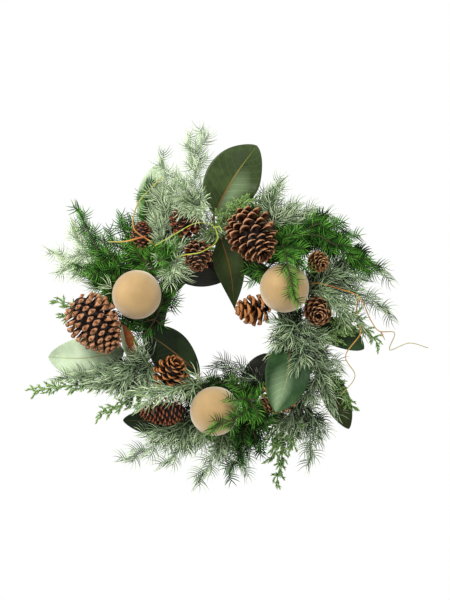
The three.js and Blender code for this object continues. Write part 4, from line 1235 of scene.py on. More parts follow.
def free_reach(maker, direction, full):
    """How far something can reach that way before it meets a neighbour."""
    solid = maker.add("GeometryNodeObjectInfo", {"Object": maker.given["Neighbours"]})
    ray = maker.add("GeometryNodeRaycast", {
        "Target Geometry": solid.outputs["Geometry"], "Ray Direction": direction,
        "Ray Length": full,
    })
    room = maker.math("SUBTRACT", ray.outputs["Hit Distance"], NEEDLE_GAP)
    short = maker.math("MINIMUM", room, full)
    return maker.add(
        "GeometryNodeSwitch", {"Switch": ray.outputs["Is Hit"], "False": full, "True": short},
        input_type="FLOAT",
    ).outputs[0]


def needle_shape(maker):
    """One needle of unit length, which bends towards +X and narrows to its tip."""
    given = maker.given
    curl = given["Needle Curl"]
    line = maker.add("GeometryNodeCurveQuadraticBezier", {
        "Resolution": 3, "Start": (0, 0, 0), "End": maker.combined(curl, 0.0, 0.98),
        "Middle": maker.combined(maker.product(curl, -0.45), 0.0, 0.5),
    }).outputs[0]
    along = maker.factor()
    line = maker.store(line, "along", along)
    narrow = maker.math("MULTIPLY_ADD", maker.math("POWER", along, 2.0), -0.86, 1.0)
    ratio = maker.math("DIVIDE", given["Needle Width"], given["Needle Length"])
    return maker.tube(maker.thickened(line, maker.product(narrow, maker.product(ratio, 0.5))), 3)


def cone_tree():
    """Scales set on a closed spiral round a core, from the base of the cone to its tip."""
    maker = Maker("pine_cone", {
        "Scale": "Object", "Scales": "Int", "Radius": "Float", "Length": "Float",
        "Base Lean": "Float", "Tip Lean": "Float", "Scale Length": "Float",
        "Scale Width": "Float", "Core": "Float", "Seed": "Int",
        "Scale Material": "Material", "Core Material": "Material",
    })
    given = maker.given
    points = maker.add("GeometryNodePoints", {"Count": given["Scales"]}).outputs[0]
    index = maker.index()
    share = maker.math("DIVIDE", maker.math("ADD", index, 0.5), given["Scales"])
    swollen = maker.math("MULTIPLY_ADD", maker.math("POWER", share, 0.85), 0.78, 0.14)
    swell = maker.math("POWER", maker.math("SINE", maker.product(swollen, math.pi)), 0.85)
    turn = maker.math("MULTIPLY_ADD", index, GOLDEN_TURN, maker.chance(-0.07, 0.07, given["Seed"]))
    outward = maker.combined(maker.math("COSINE", turn), maker.math("SINE", turn), 0.0)
    rim = maker.product(given["Radius"], given["Core"], swell)
    height = maker.product(given["Length"], maker.math("MULTIPLY_ADD", share, 0.84, 0.08))
    spot = maker.vector("ADD", maker.scaled(outward, rim), maker.combined(0.0, 0.0, height))
    placed = maker.add("GeometryNodeSetPosition", {"Geometry": points, "Position": spot}).outputs[0]
    opened = maker.add("ShaderNodeMix", {
        0: maker.math("POWER", share, 1.5), 2: given["Base Lean"], 3: given["Tip Lean"],
    }, data_type="FLOAT").outputs[0]
    lean = maker.math("ADD", maker.chance(-0.1, 0.1, 1), opened)
    risen = maker.combined(0.0, 0.0, maker.math("SINE", lean))
    reach = maker.vector("ADD", maker.scaled(outward, maker.math("COSINE", lean)), risen)
    around = maker.vector("CROSS_PRODUCT", (0.0, 0.0, 1.0), outward)
    size = maker.product(maker.math("MULTIPLY_ADD", swell, 0.6, 0.4), maker.chance(0.9, 1.1, 2))
    length = maker.product(given["Radius"], given["Scale Length"], size)
    width = maker.product(given["Radius"], given["Scale Width"], size)
    shape = maker.add("GeometryNodeObjectInfo", {"Object": given["Scale"]}).outputs["Geometry"]
    scales = maker.planted(
        placed, shape, maker.turned(reach, around), maker.combined(width, width, length)
    )
    scales = maker.realized(maker.store(scales, "tint", maker.chance(0.0, 1.0, 3), "INSTANCE"))
    scales = maker.painted(scales, given["Scale Material"])
    ball = maker.add("GeometryNodeMeshUVSphere", {"Segments": 16, "Rings": 10, "Radius": 1.0})
    girth = maker.product(given["Radius"], given["Core"], 0.95)
    core = maker.add("GeometryNodeTransform", {
        "Geometry": ball.outputs[0],
        "Translation": maker.combined(0.0, 0.0, maker.product(given["Length"], 0.46)),
        "Scale": maker.combined(girth, girth, maker.product(given["Length"], 0.44)),
    }).outputs[0]
    return maker.finish(maker.join(scales, maker.painted(core, given["Core Material"])))


def cane_tree():
    """Canes from lines: an uneven round section that follows each line."""
    maker = Maker("twisted_canes", {
        "Radius": "Float", "Unevenness": "Float", "Sides": "Int", "Material": "Material",
    })
    given = maker.given
    line = maker.store(maker.given_curves(), "along", maker.factor())
    grain = maker.add("ShaderNodeTexNoise", {"Scale": 60.0, "Detail": 2.0}).outputs[0]
    wobble = maker.product(maker.math("SUBTRACT", grain, 0.5), given["Unevenness"])
    radius = maker.product(
        maker.named("stem_radius"), given["Radius"], maker.math("ADD", wobble, 1.0)
    )
    cane = maker.tube(maker.thickened(line, radius), given["Sides"])
    return maker.finish(maker.painted(cane, given["Material"]))


def velvet_tree():
    """A ball with the soft, uneven skin of a short pile."""
    maker = Maker("velvet_ball", {
        "Radius": "Float", "Pile": "Float", "Centre": "Vector", "Material": "Material",
    })
    given = maker.given
    ball = maker.add("GeometryNodeMeshIcoSphere", {"Radius": given["Radius"], "Subdivisions": 5})
    outward = maker.vector("NORMALIZE", maker.add("GeometryNodeInputPosition").outputs[0])
    pile = maker.add("ShaderNodeTexNoise", {"Scale": 420.0, "Detail": 2.0}).outputs[0]
    dents = maker.add("ShaderNodeTexNoise", {"Scale": 30.0, "Detail": 1.0}).outputs[0]
    rise = maker.math("MULTIPLY_ADD", dents, 0.6, maker.product(pile, 0.6))
    rise = maker.product(maker.math("SUBTRACT", rise, 0.9), given["Pile"])
    inputs = {"Geometry": ball.outputs[0], "Offset": maker.scaled(outward, rise)}
    skin = maker.add("GeometryNodeSetPosition", inputs).outputs[0]
    inputs = {"Geometry": maker.painted(skin, given["Material"]), "Translation": given["Centre"]}
    return maker.finish(maker.add("GeometryNodeTransform", inputs).outputs[0])


# Pieces

def make_canes(settings):
    """The ring: five canes twisted twice round it, flat where they lie on the wall."""
    lines = bmesh.new()
    thickness = lines.verts.layers.float.new("stem_radius")
    canes, turns, steps = 5, 2, 220
    sways, sway = 3, 0.25
    offset = SECTION_RADIUS - settings.cane_radius
    for cane in range(canes):
        ring = []
        for step in range(steps):
            around = math.tau * step / steps
            strayed = sway * math.sin(sways * around + cane)
            turn = math.tau * cane / canes + turns * around + strayed
            reach = RING_RADIUS + offset * math.cos(turn)
            forward = max(offset * math.sin(turn), settings.cane_radius - BACK_DEPTH)
            right, up = reach * math.cos(around), reach * math.sin(around)
            ring.append(lines.verts.new((right, -forward, up - RING_INSIDE)))
            ring[-1][thickness] = 1.0
        for one, other in zip(ring, ring[1:] + ring[:1]):
            lines.edges.new((one, other))
    values = {
        "Radius": settings.cane_radius, "Unevenness": 0.16, "Sides": 12, "Material": vine_finish(),
    }
    mesh = meshed(lines, "cane_lines")
    settle(run_maker("vine_ring_canes", mesh, cane_tree(), values), "vine_ring")


def make_balls(settings):
    """The velvet balls, each where its node stands."""
    tree = velvet_tree()
    velvet = velvet_finish(settings.ball_colour)
    for node in ("velvet_ball_left", "velvet_ball_right", "velvet_ball_bottom"):
        low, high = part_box(node)
        values = {
            "Radius": (high.x - low.x) / 2 + settings.ball_nap, "Pile": settings.ball_pile,
            "Centre": (low + high) / 2, "Material": velvet,
        }
        blank = bpy.data.meshes.new(node)
        settle(run_maker(node + "_flock", blank, tree, values), node)


# Leaf skins: the blade, its veins and rib, its edge, and its patch of painted light, which is a
# painted highlight on glossy leaves and painted shade on pale ones: the place of its middle along
# and across the leaf, how much shorter and narrower than the leaf it is, and its share. A painted
# light side keeps it to one side of the rib.
NO_PAINTED_LIGHT = (0.5, 0.5, 1, 1, 0.0)
LEAF_LOOKS = {
    "olive": {
        "colour": srgb(46, 62, 26), "light": srgb(74, 92, 44), "rib": srgb(112, 70, 38),
        "rib_tip": srgb(112, 124, 44), "edge": srgb(60, 72, 32), "veins": 0.55, "rib_share": 0.95,
        "roughness": 0.4, "gloss": 0.22, "rib_rise": -0.6,
        # Painted highlight right of the rib near the base
        "painted_light_patch": (0.3, 0.36, 1.5, 2.4, 0.85), "painted_light_colour": srgb(126, 148, 108), "painted_light_side": 1,
    },
    "bronze": {
        "colour": srgb(34, 46, 16), "light": srgb(54, 66, 30), "rib": srgb(104, 66, 32),
        "rib_tip": srgb(120, 84, 36), "edge": srgb(62, 60, 26), "veins": 0.45, "rib_share": 0.9,
        "roughness": 0.5, "gloss": 0.12, "rib_rise": -0.6,
    },
    "deep": {
        "colour": srgb(16, 28, 9), "light": srgb(32, 48, 20), "rib": srgb(104, 60, 38),
        "rib_tip": srgb(84, 84, 44), "edge": srgb(40, 50, 26), "veins": 0.22, "rib_share": 0.9,
        "roughness": 0.5, "gloss": 0.12, "rib_rise": -0.6,
    },
    "green": {
        "colour": srgb(30, 58, 25), "light": srgb(56, 88, 46), "rib": srgb(104, 68, 44),
        "rib_tip": srgb(112, 134, 64), "edge": srgb(56, 82, 44), "veins": 0.4, "rib_share": 0.9,
        "roughness": 0.55, "gloss": 0.15, "rib_rise": -0.6,
        # Painted highlight towards the tip
        "painted_light_patch": (0.8, 0.4, 1.25, 1.9, 0.95), "painted_light_colour": srgb(138, 160, 121),
    },
    "forest": {
        "colour": srgb(34, 58, 30), "light": srgb(56, 82, 48), "rib": srgb(84, 56, 38),
        "rib_tip": srgb(70, 60, 38), "edge": srgb(44, 66, 36), "veins": 0.2, "rib_share": 0.8,
        "roughness": 0.5, "gloss": 0.12, "rib_rise": -0.6,
    },
    "pale": {
        "colour": srgb(178, 196, 162), "light": srgb(206, 220, 190), "rib": srgb(150, 122, 96),
        "rib_tip": srgb(160, 178, 108), "edge": srgb(162, 180, 140), "veins": 0.25,
        "rib_share": 0.75, "roughness": 0.6, "gloss": 0.25, "rib_rise": 0.8,
        # Painted shade: a darker patch at the base
        "painted_light_patch": (0.12, 0.5, 1.3, 0.5, 0.85), "painted_light_colour": srgb(124, 152, 112),
    },
    "rust": {
        "colour": srgb(136, 66, 36), "light": srgb(160, 92, 56), "rib": srgb(156, 106, 64),
        "rib_tip": srgb(146, 100, 58), "edge": srgb(106, 62, 38), "veins": 0.4,
        "rib_share": 0.8, "roughness": 0.75, "gloss": 0.2, "rib_rise": 0.8,
    },
    "shaded": {
        "colour": srgb(22, 23, 14), "light": srgb(42, 44, 30), "rib": srgb(46, 42, 30),
        "rib_tip": srgb(42, 40, 28), "edge": srgb(28, 30, 20), "veins": 0.3,
        "rib_share": 0.7, "roughness": 0.55, "gloss": 0.2, "rib_rise": -0.4,
    },
}


# Leaves: the usual outline, the widths where the stalk starts and at the tip, the waves along an
# edge and how they slant, the radius of the stalk, and the places of the materials on a leaf
LEAF_OUTLINE = (0.9, 0.66)
LEAF_FOOT = 3 * MM
LEAF_TIP = 0.8 * MM
LEAF_WAVES = 13
WAVE_SLANT = 2.1
STALK_RADIUS = 1.6 * MM
FRONT_SKIN, BACK_SKIN, STALK_SKIN, LEFT_SKIN = range(4)


def leaf_blade(leaf, settings):
    """A leaf's two faces as a closed sheet, mapped along and across, and its stalk's start."""
    rib = smooth_route([place(point) for point in leaf["rib"]], 1 * MM)
    folds = math.radians(leaf["fold"]), math.radians(leaf.get("fold_right", leaf["fold"]))
    skew, taper = leaf.get("outline", LEAF_OUTLINE)
    rows, columns = 44, 20
    blade = bmesh.new()
    leaf_map = blade.loops.layers.uv.new("leaf")
    grid = []
    for row in range(rows + 1):
        share = 0.5 - 0.5 * math.cos(math.pi * row / rows)
        at = share * (len(rib) - 1)
        low = min(int(at), len(rib) - 2)
        point = rib[low].lerp(rib[low + 1], at - low)
        tangent = (rib[low + 1] - rib[low]).normalized()
        roll = Matrix.Rotation(math.radians(leaf.get("roll", 0)), 3, tangent)
        across = roll @ FORWARD.cross(tangent).normalized()
        outwards = tangent.cross(across).normalized()
        outline = max(0.0, math.sin(math.pi * share ** skew)) ** taper
        half = max(leaf["width"] * MM * outline, LEAF_FOOT * (1 - share), LEAF_TIP) / 2
        line = []
        for column in range(columns + 1):
            reach = 2 * column / columns - 1
            ripple = math.sin(share * LEAF_WAVES + WAVE_SLANT * reach + leaf["width"])
            wave = settings.leaf_wave * reach ** 2 * ripple * math.sin(math.pi * share)
            fold = folds[reach < 0]
            spot = point + across * (reach * half * math.cos(fold))
            spot += outwards * (abs(reach) ** 1.25 * half * math.sin(fold) + wave)
            line.append((spot, outwards, share, (reach + 1) / 2))
        grid.append(line)
    thickness = settings.leaf_thickness / 2
    faces = {
        side: [
            [blade.verts.new(spot + out * side * thickness) for spot, out, _, _ in line]
            for line in grid
        ]
        for side in (1, -1)
    }

    def panel(corners, marks, material):
        face = blade.faces.new(corners)
        face.material_index = material
        face.smooth = True
        for loop, (row, column) in zip(face.loops, marks):
            loop[leaf_map].uv = grid[row][column][2:]

    for row in range(rows):
        for column in range(columns):
            marks = [(row, column), (row, column + 1), (row + 1, column + 1), (row + 1, column)]
            front = [faces[1][r][c] for r, c in marks]
            back = [faces[-1][r][c] for r, c in marks]
            other_half = "left" in leaf and column >= columns / 2
            panel(front, marks, LEFT_SKIN if other_half else FRONT_SKIN)
            panel(back[::-1], marks[::-1], BACK_SKIN)
    rim = [(0, c) for c in range(columns)] + [(r, columns) for r in range(rows)]
    rim += [(rows, c) for c in range(columns, 0, -1)] + [(r, 0) for r in range(rows, 0, -1)]
    for one, other in zip(rim, rim[1:] + rim[:1]):
        corners = [faces[1][one[0]][one[1]], faces[1][other[0]][other[1]]]
        corners += [faces[-1][other[0]][other[1]], faces[-1][one[0]][one[1]]]
        panel(corners, [one, other, other, one], FRONT_SKIN)
    bmesh.ops.recalc_face_normals(blade, faces=blade.faces)
    return blade, rib[0], rib[4]


def make_leaves(settings):
    """The magnolia leaves, each with its stalk down to the ring."""
    looks = {name: leaf_finish(f"leaf_{name}", look) for name, look in LEAF_LOOKS.items()}
    stalk_material = stem_finish("leaf_stalk", srgb(126, 96, 58))
    for node, leaf in LEAVES.items():
        blade, start, sunk = leaf_blade(leaf, settings)
        stalk = smooth_route([foot_on_ring(start), start, sunk], 3 * MM)
        add_tube(blade, stalk, STALK_RADIUS, STALK_SKIN)
        mesh = meshed(blade, node + "_blade")
        for material in (looks[leaf["face"]], looks[leaf["back"]], stalk_material):
            mesh.materials.append(material)
        if "left" in leaf:
            mesh.materials.append(looks[leaf["left"]])
        settle(added(mesh.name, mesh), node)


def add_tube(mesh, route, radius, material, sides=8):
    """Adds a closed round tube along a route to a mesh."""
    rings = []
    side = FORWARD.cross(route[1] - route[0])
    side = side.normalized() if side.length > NO_LENGTH else Vector((1, 0, 0))
    for index, point in enumerate(route):
        tangent = (route[min(index + 1, len(route) - 1)] - route[max(index - 1, 0)]).normalized()
        side = (side - tangent * side.dot(tangent)).normalized()
        up = tangent.cross(side)
        ring = []
        for corner in range(sides):
            angle = math.tau * corner / sides
            outward = side * math.cos(angle) + up * math.sin(angle)
            ring.append(mesh.verts.new(point + outward * radius))
        rings.append(ring)
    made = [mesh.faces.new(rings[0][::-1]), mesh.faces.new(rings[-1])]
    for one, other in zip(rings, rings[1:]):
        for corner in range(sides):
            follow = (corner + 1) % sides
            made.append(mesh.faces.new((one[corner], one[follow], other[follow], other[corner])))
    for face in made:
        face.material_index = material
        face.smooth = True


# Cone scales: width and thickness at shares of the length, how far the scale is cupped and its
# end rounded, its length and width beside the cone's radius, the radius of the core beside it,
# and how far the scales rise at the base and at the tip. A padded scale also has a crease beside
# its middle, its own tones along it, darker at the foot as painted shade between the scales, and
# its wear along it, which is partly real wear and partly painted highlight.
SCALE_FORMS = {
    "petal": {
        "reach": [0.0, 0.35, 0.62, 0.82, 0.94, 1.0], "width": [0.3, 0.44, 0.74, 0.98, 0.96, 0.7],
        "thick": [0.1, 0.12, 0.14, 0.2, 0.3, 0.22], "cup": 0.5, "round": 0.3,
        "length": 0.62, "across": 0.24, "core": 0.42, "leans": (-12, 66),
    },
    "padded": {
        "reach": [0.0, 0.4, 0.74, 0.87, 0.95, 1.0], "width": [0.5, 0.7, 1.0, 0.96, 0.56, 0.12],
        "thick": [0.5, 0.8, 1.05, 1.2, 0.8, 0.2], "cup": 0.1, "round": 0.06,
        "length": 0.46, "across": 0.172, "core": 0.63, "leans": (-10, 60), "crease": 0.45,
        "tone": [0.0, 0.4, 0.82, 0.96, 0.9, 0.78], "worn": [0.0, 0.0, 0.5, 1.0, 0.3, 0.0],
    },
    "rosette": {
        "reach": [0.0, 0.35, 0.62, 0.82, 0.94, 1.0], "width": [0.4, 0.6, 0.85, 1.0, 0.95, 0.66],
        "thick": [0.14, 0.18, 0.24, 0.34, 0.42, 0.26], "cup": 0.45, "round": 0.35,
        "length": 0.6, "across": 0.28, "core": 0.44, "leans": (-8, 76),
    },
    "packed": {
        "reach": [0.0, 0.35, 0.62, 0.82, 0.94, 1.0], "width": [0.4, 0.6, 0.85, 1.0, 0.9, 0.5],
        "thick": [0.2, 0.25, 0.35, 0.5, 0.55, 0.3], "cup": 0.3, "round": 0.3,
        "length": 0.44, "across": 0.2, "core": 0.64, "leans": (2, 66),
    },
    "slat": {
        "reach": [0.0, 0.3, 0.6, 0.82, 0.94, 1.0], "width": [0.6, 0.66, 0.78, 0.95, 1.0, 0.84],
        "thick": [0.3, 0.34, 0.4, 0.5, 0.56, 0.4], "cup": 0.45, "round": 0.12,
        "length": 0.92, "across": 0.4, "core": 0.22, "leans": (-4, 80),
    },
}


def scale_shape(name, form):
    """One cone scale of unit length along Z: a narrow foot and a broad, cupped and padded end."""
    scale = bmesh.new()
    along_layer = scale.verts.layers.float.new("along")
    rim_layer = scale.verts.layers.float.new("rim")
    columns = [-1.0, -0.6, 0.0, 0.6, 1.0]
    sides = {1: [], -1: []}
    reaches = form["reach"]
    tones = form.get("tone", reaches)
    worn = form.get("worn", [max(0.0, min(1.0, (reach - 0.87) / 0.07)) for reach in reaches])
    for reach, width, thick, tone, age in zip(reaches, form["width"], form["thick"], tones, worn):
        for side, rows in sides.items():
            row = []
            for column in columns:
                off, off_squared = abs(column), column ** 2
                crease = form.get("crease", 0.0) * (off - off_squared) * 0.9
                crown = thick * (1 - 0.7 * off_squared - crease) * side / 2
                lift = form["cup"] * off_squared * (0.25 + 0.75 * reach) * width
                rounded = reach * (1 - form["round"] * off ** 2.5 * reach ** 3)
                vertex = scale.verts.new((column * width, crown + lift, rounded))
                vertex[along_layer] = tone
                # The rim: the scale's edges and worn end, partly real wear and partly painted
                # highlight
                edge = max(0.0, (off - 0.5) / 0.5) * min(1.0, reach * 1.4)
                vertex[rim_layer] = max(edge, age)
                row.append(vertex)
            rows.append(row)

    def panel(*corners):
        scale.faces.new([sides[side][row][column] for side, row, column in corners])

    last_row, last = len(reaches) - 1, len(columns) - 1
    for r in range(last_row):
        for c in range(last):
            panel((1, r, c), (1, r, c + 1), (1, r + 1, c + 1), (1, r + 1, c))
            panel((-1, r, c), (-1, r + 1, c), (-1, r + 1, c + 1), (-1, r, c + 1))
        for c in (0, last):
            panel((1, r, c), (1, r + 1, c), (-1, r + 1, c), (-1, r, c))
    for r in (0, last_row):
        for c in range(last):
            panel((1, r, c), (1, r, c + 1), (-1, r, c + 1), (-1, r, c))
    bmesh.ops.recalc_face_normals(scale, faces=scale.faces)
    return added(name, meshed(scale, name))


# The wire that ties a cone: its radius, and how far up the cone it starts
WIRE_RADIUS = 1.1 * MM
WIRE_START = 0.3


def make_cones(settings):
    """The pine cones: scales on a spiral, a core darkened as painted shade, and the wire that ties
    each one.
    """
    tree = cone_tree()
    brown, rim = settings.scale_brown, settings.scale_rim_wear_and_highlight
    finishes = {
        "brown": scale_finish("pine_cone", srgb(46, 19, 6), brown, rim),
        "red": scale_finish("reddish_cone", srgb(50, 22, 14), srgb(112, 58, 38), srgb(160, 96, 66)),
        "tan": scale_finish("tan_cone", srgb(78, 48, 26), srgb(146, 98, 60), srgb(192, 146, 98)),
        "warm": scale_finish("warm_cone", srgb(52, 22, 6), srgb(122, 64, 28), srgb(174, 118, 70)),
    }
    # Painted shade: the core is near black where it lies deep between the scales
    core_material = stem_finish("cone_core", srgb(28, 12, 4))
    wire_material = stem_finish("cone_wire", srgb(50, 42, 30))
    shapes = {name: scale_shape(f"scale_{name}", form) for name, form in SCALE_FORMS.items()}
    for seed, (node, cone) in enumerate(CONES.items()):
        base, tip, radius, scales, form_name, colour = cone
        base, tip, form = place(base), place(tip), SCALE_FORMS[form_name]
        base_lean, tip_lean = (math.radians(lean) for lean in form["leans"])
        piece = run_maker(node + "_scales", bpy.data.meshes.new(node), tree, {
            "Scale": shapes[form_name], "Scales": scales, "Radius": radius * MM,
            "Length": (tip - base).length, "Base Lean": base_lean, "Tip Lean": tip_lean,
            "Scale Length": form["length"], "Scale Width": form["across"], "Core": form["core"],
            "Seed": seed, "Scale Material": finishes[colour], "Core Material": core_material,
        })
        mesh = piece.data
        turn = (tip - base).to_track_quat("Z", "Y").to_matrix().to_4x4()
        mesh.transform(Matrix.Translation(base) @ turn)
        mesh.materials.append(wire_material)
        wired = bmesh.new()
        wired.from_mesh(mesh)
        middle = base.lerp(tip, WIRE_START)
        add_tube(wired, [foot_on_ring(middle), middle], WIRE_RADIUS, len(mesh.materials) - 1)
        wired.to_mesh(mesh)
        wired.free()
        settle(piece, node)
    for shape in shapes.values():
        bpy.data.objects.remove(shape)


def make_twigs(settings):
    """The bare twigs, thinner towards their ends."""
    bark = twig_finish("twig_bark", srgb(206, 150, 54), srgb(168, 98, 40), srgb(168, 164, 84))
    green = twig_finish("tendril_green", srgb(178, 188, 62), srgb(150, 152, 44), srgb(186, 196, 80))
    solid = solid_neighbours()
    corners = [vertex.co for vertex in solid.vertices]
    neighbours = BVHTree.FromPolygons(corners, [tuple(face.vertices) for face in solid.polygons])
    bpy.data.meshes.remove(solid)
    tree = cane_tree()
    radius = settings.twig_radius
    for node, routes in TWIGS.items():
        mesh = stem_lines(node, [(0, points) for points in routes], neighbours, radius)
        values = {
            "Radius": radius * TWIG_THICKNESS.get(node, 1.0), "Unevenness": 0.5, "Sides": 8,
            "Material": green if node == "tendril_top" else bark,
        }
        settle(run_maker(node + "_bark", mesh, tree, values), node)


def make_sprays(kind, sprays, look):
    """The sprays of one kind: stems, side shoots and needles."""
    solid = added("neighbours", solid_neighbours())
    measured = BVHTree.FromObject(solid, bpy.context.evaluated_depsgraph_get())
    tree = bpy.data.node_groups.get("needle_spray") or spray_tree()
    values = {input_name(field): getattr(look, field) for field in SPRAY_SIZES}
    values.update({
        "Neighbours": solid, "Stem Material": stem_finish(f"{kind}_stem", look.stem),
        "Needle Material": needle_finish(f"{kind}_needles", look),
    })
    trim = look.needle_length * NEEDLE_TRIM + look.twiglet_length * TWIGLET_TRIM
    for order, (node, routes) in enumerate(sprays.items()):
        values["Under Length"] = 0.0 if node in OPEN_SPRAYS else look.under_length
        # The spray's tone, with painted light and shade for where it lies
        values["Tone"] = SPRAY_TONES_AND_SHADE.get(node, 0.0)
        values["Seed"] = look.seed * 100 + order
        mesh = stem_lines(node, routes, measured, look.stem_radius, trim)
        settle(run_maker(node + "_needles", mesh, tree, values), node)
    bpy.data.objects.remove(solid)


# Operators

class WREATH_OT_vine_ring(bpy.types.Operator):
    """Add the ring of twisted vine canes"""
    bl_idname = "wreath.vine_ring"
    bl_label = "Vine ring"

    def execute(self, context):
        make_canes(context.scene.wreath)
        return {"FINISHED"}


class WREATH_OT_velvet_balls(bpy.types.Operator):
    """Add the three velvet balls"""
    bl_idname = "wreath.velvet_balls"
    bl_label = "Velvet balls"

    def execute(self, context):
        make_balls(context.scene.wreath)
        return {"FINISHED"}


class WREATH_OT_leaves(bpy.types.Operator):
    """Add the magnolia leaves"""
    bl_idname = "wreath.leaves"
    bl_label = "Magnolia leaves"

    def execute(self, context):
        make_leaves(context.scene.wreath)
        return {"FINISHED"}


class WREATH_OT_cones(bpy.types.Operator):
    """Add the pine cones"""
    bl_idname = "wreath.cones"
    bl_label = "Pine cones"

    def execute(self, context):
        make_cones(context.scene.wreath)
        return {"FINISHED"}


class WREATH_OT_twigs(bpy.types.Operator):
    """Add the bare twigs"""
    bl_idname = "wreath.twigs"
    bl_label = "Twigs"

    def execute(self, context):
        make_twigs(context.scene.wreath)
        return {"FINISHED"}


class WREATH_OT_frosted(bpy.types.Operator):
    """Add the frosted spruce sprays"""
    bl_idname = "wreath.frosted"
    bl_label = "Frosted sprays"

    def execute(self, context):
        make_sprays("frosted", FROSTED_SPRAYS, context.scene.wreath.frosted)
        return {"FINISHED"}


class WREATH_OT_fir(bpy.types.Operator):
    """Add the green fir sprays"""
    bl_idname = "wreath.fir"
    bl_label = "Fir sprays"

    def execute(self, context):
        make_sprays("fir", FIR_SPRAYS, context.scene.wreath.fir)
        return {"FINISHED"}


class WREATH_OT_cedar(bpy.types.Operator):
    """Add the cedar sprays"""
    bl_idname = "wreath.cedar"
    bl_label = "Cedar sprays"

    def execute(self, context):
        make_sprays("cedar", CEDAR_SPRAYS, context.scene.wreath.cedar)
        return {"FINISHED"}


class WREATH_OT_sage(bpy.types.Operator):
    """Add the pale sage sprays"""
    bl_idname = "wreath.sage"
    bl_label = "Sage sprays"

    def execute(self, context):
        make_sprays("sage", SAGE_SPRAYS, context.scene.wreath.sage)
        return {"FINISHED"}


# Photograph: where the ring's centre falls in it, its pixels across and down, and the size of
# one at the wreath
PHOTO_CENTRE = (222, 328)
PHOTO_SIZE = (450, 600)
PIXEL = 1.65 * MM

# Camera: the depth of the plane that is seen at that size, its distance from it, and its sensor
# in the millimetres that lenses are given in
SHARP_PLANE = -25 * MM
CAMERA_DISTANCE = 3.2
SENSOR = 36.0

FLOOR_RADIUS = 1.2
FLOOR_LEVEL = -0.9

# Light: the white surroundings as the camera sees them and as they light the wreath, and the
# lamps with their places, sizes and powers
SEEN_STRENGTH = 1.0
FILL_STRENGTH = 0.62
LAMPS = {
    "key": ((-1.1, -2.0, 1.3), 0.9, 52.0),
    "fill": ((1.6, -1.8, 0.3), 1.4, 12.0),
    "wrap": ((-1.6, -0.55, 0.9), 0.8, 14.0),
}


class WREATH_OT_stage(bpy.types.Operator):
    """Add the floor, the lights and the camera"""
    bl_idname = "wreath.stage"
    bl_label = "Stage"

    def execute(self, context):
        add_floor()
        add_lights(context.scene)
        add_camera(context.scene)
        return {"FINISHED"}


def add_floor():
    """A pale round floor below the wreath, clear of the front view."""
    disc = bmesh.new()
    bmesh.ops.create_circle(disc, cap_ends=True, segments=96, radius=FLOOR_RADIUS)
    bmesh.ops.translate(disc, verts=disc.verts, vec=(0, 0, FLOOR_LEVEL))
    mesh = meshed(disc, "floor")
    mesh.materials.append(floor_finish())
    floor = added("floor", mesh)


def add_lights(scene):
    """White surroundings that fill the shade, and a soft key from the upper left front."""
    world = bpy.data.worlds.new("studio")
    world.use_nodes = True
    scene.world = world
    studio = Tree(world.node_tree)
    seen = studio.tree.nodes["Background"]
    filled = studio.add("ShaderNodeBackground")
    for surroundings, strength in ((seen, SEEN_STRENGTH), (filled, FILL_STRENGTH)):
        studio.feed(surroundings.inputs["Color"], (1, 1, 1, 1))
        studio.feed(surroundings.inputs["Strength"], strength)
    mixed = studio.add("ShaderNodeMixShader", {
        0: studio.add("ShaderNodeLightPath").outputs["Is Camera Ray"],
        1: filled.outputs[0], 2: seen.outputs[0],
    })
    studio.feed(studio.tree.nodes["World Output"].inputs["Surface"], mixed.outputs[0])
    for name, (spot, size, power) in LAMPS.items():
        light = bpy.data.lights.new(name, "AREA")
        light.shape = "DISK"
        light.size = size
        light.energy = power
        lamp = added(name, light)
        lamp.location = spot
        aim = Vector((0, 0, -RING_INSIDE)) - Vector(spot)
        lamp.rotation_euler = aim.to_track_quat("-Z", "Y").to_euler()
    scene.view_settings.view_transform = "Standard"


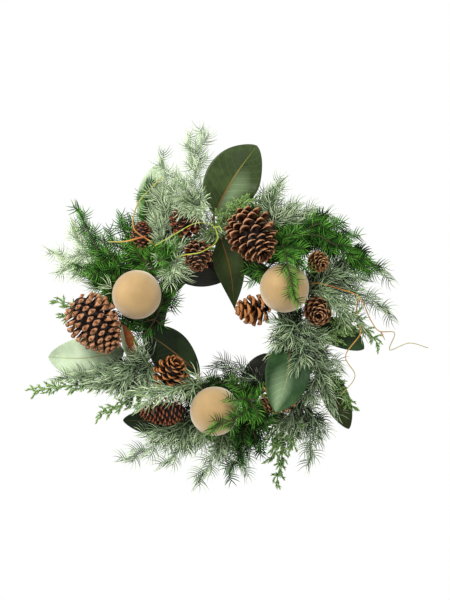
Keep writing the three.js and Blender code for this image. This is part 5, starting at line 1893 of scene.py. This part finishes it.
def add_camera(scene):
    """Straight from the front, with the ring's centre where the photograph has it."""
    right = (PHOTO_SIZE[0] / 2 - PHOTO_CENTRE[0]) * PIXEL
    up = (PHOTO_CENTRE[1] - PHOTO_SIZE[1] / 2) * PIXEL - RING_INSIDE
    camera = bpy.data.cameras.new("front")
    camera.sensor_width = SENSOR
    camera.lens = SENSOR * CAMERA_DISTANCE / (PHOTO_SIZE[1] * PIXEL)
    camera.clip_end = 50
    viewer = added("front", camera)
    viewer.location = (right, SHARP_PLANE - CAMERA_DISTANCE, up)
    viewer.rotation_euler = (math.pi / 2, 0, 0)
    scene.camera = viewer


STEPS = (
    WREATH_OT_vine_ring, WREATH_OT_velvet_balls, WREATH_OT_leaves, WREATH_OT_cones,
    WREATH_OT_twigs, WREATH_OT_frosted, WREATH_OT_fir, WREATH_OT_cedar, WREATH_OT_sage,
    WREATH_OT_stage,
)


class WREATH_PT_sidebar(bpy.types.Panel):
    """Lists the wreath's pieces and the sizes and colours that can be changed"""
    bl_idname = "WREATH_PT_sidebar"
    bl_label = "Fir and magnolia wreath"
    bl_space_type = "VIEW_3D"
    bl_region_type = "UI"
    bl_category = "Wreath"

    def draw(self, context):
        settings = context.scene.wreath
        for step in STEPS:
            self.layout.operator(step.bl_idname)
        for label in (
            "ball_colour", "ball_pile", "ball_nap", "cane_radius", "leaf_thickness", "leaf_wave",
            "twig_radius", "scale_brown", "scale_rim_wear_and_highlight",
        ):
            self.layout.prop(settings, label)
        for group in (settings.frosted, settings.fir, settings.cedar, settings.sage):
            box = self.layout.box()
            for label in ("needle_length", "needle_spacing", "needle_lean", "middle"):
                box.prop(group, label)


CLASSES = (
    FrostedSettings, FirSettings, CedarSettings, SageSettings, WreathSettings, *STEPS,
    WREATH_PT_sidebar,
)


def register():
    for entry in CLASSES:
        bpy.utils.register_class(entry)
    bpy.types.Scene.wreath = PointerProperty(type=WreathSettings)


def unregister():
    del bpy.types.Scene.wreath
    for entry in reversed(CLASSES):
        bpy.utils.unregister_class(entry)


def main():
    register()
    for step in STEPS:
        group, name = step.bl_idname.split(".")
        getattr(getattr(bpy.ops, group), name)()


if __name__ == "__main__":
    main()
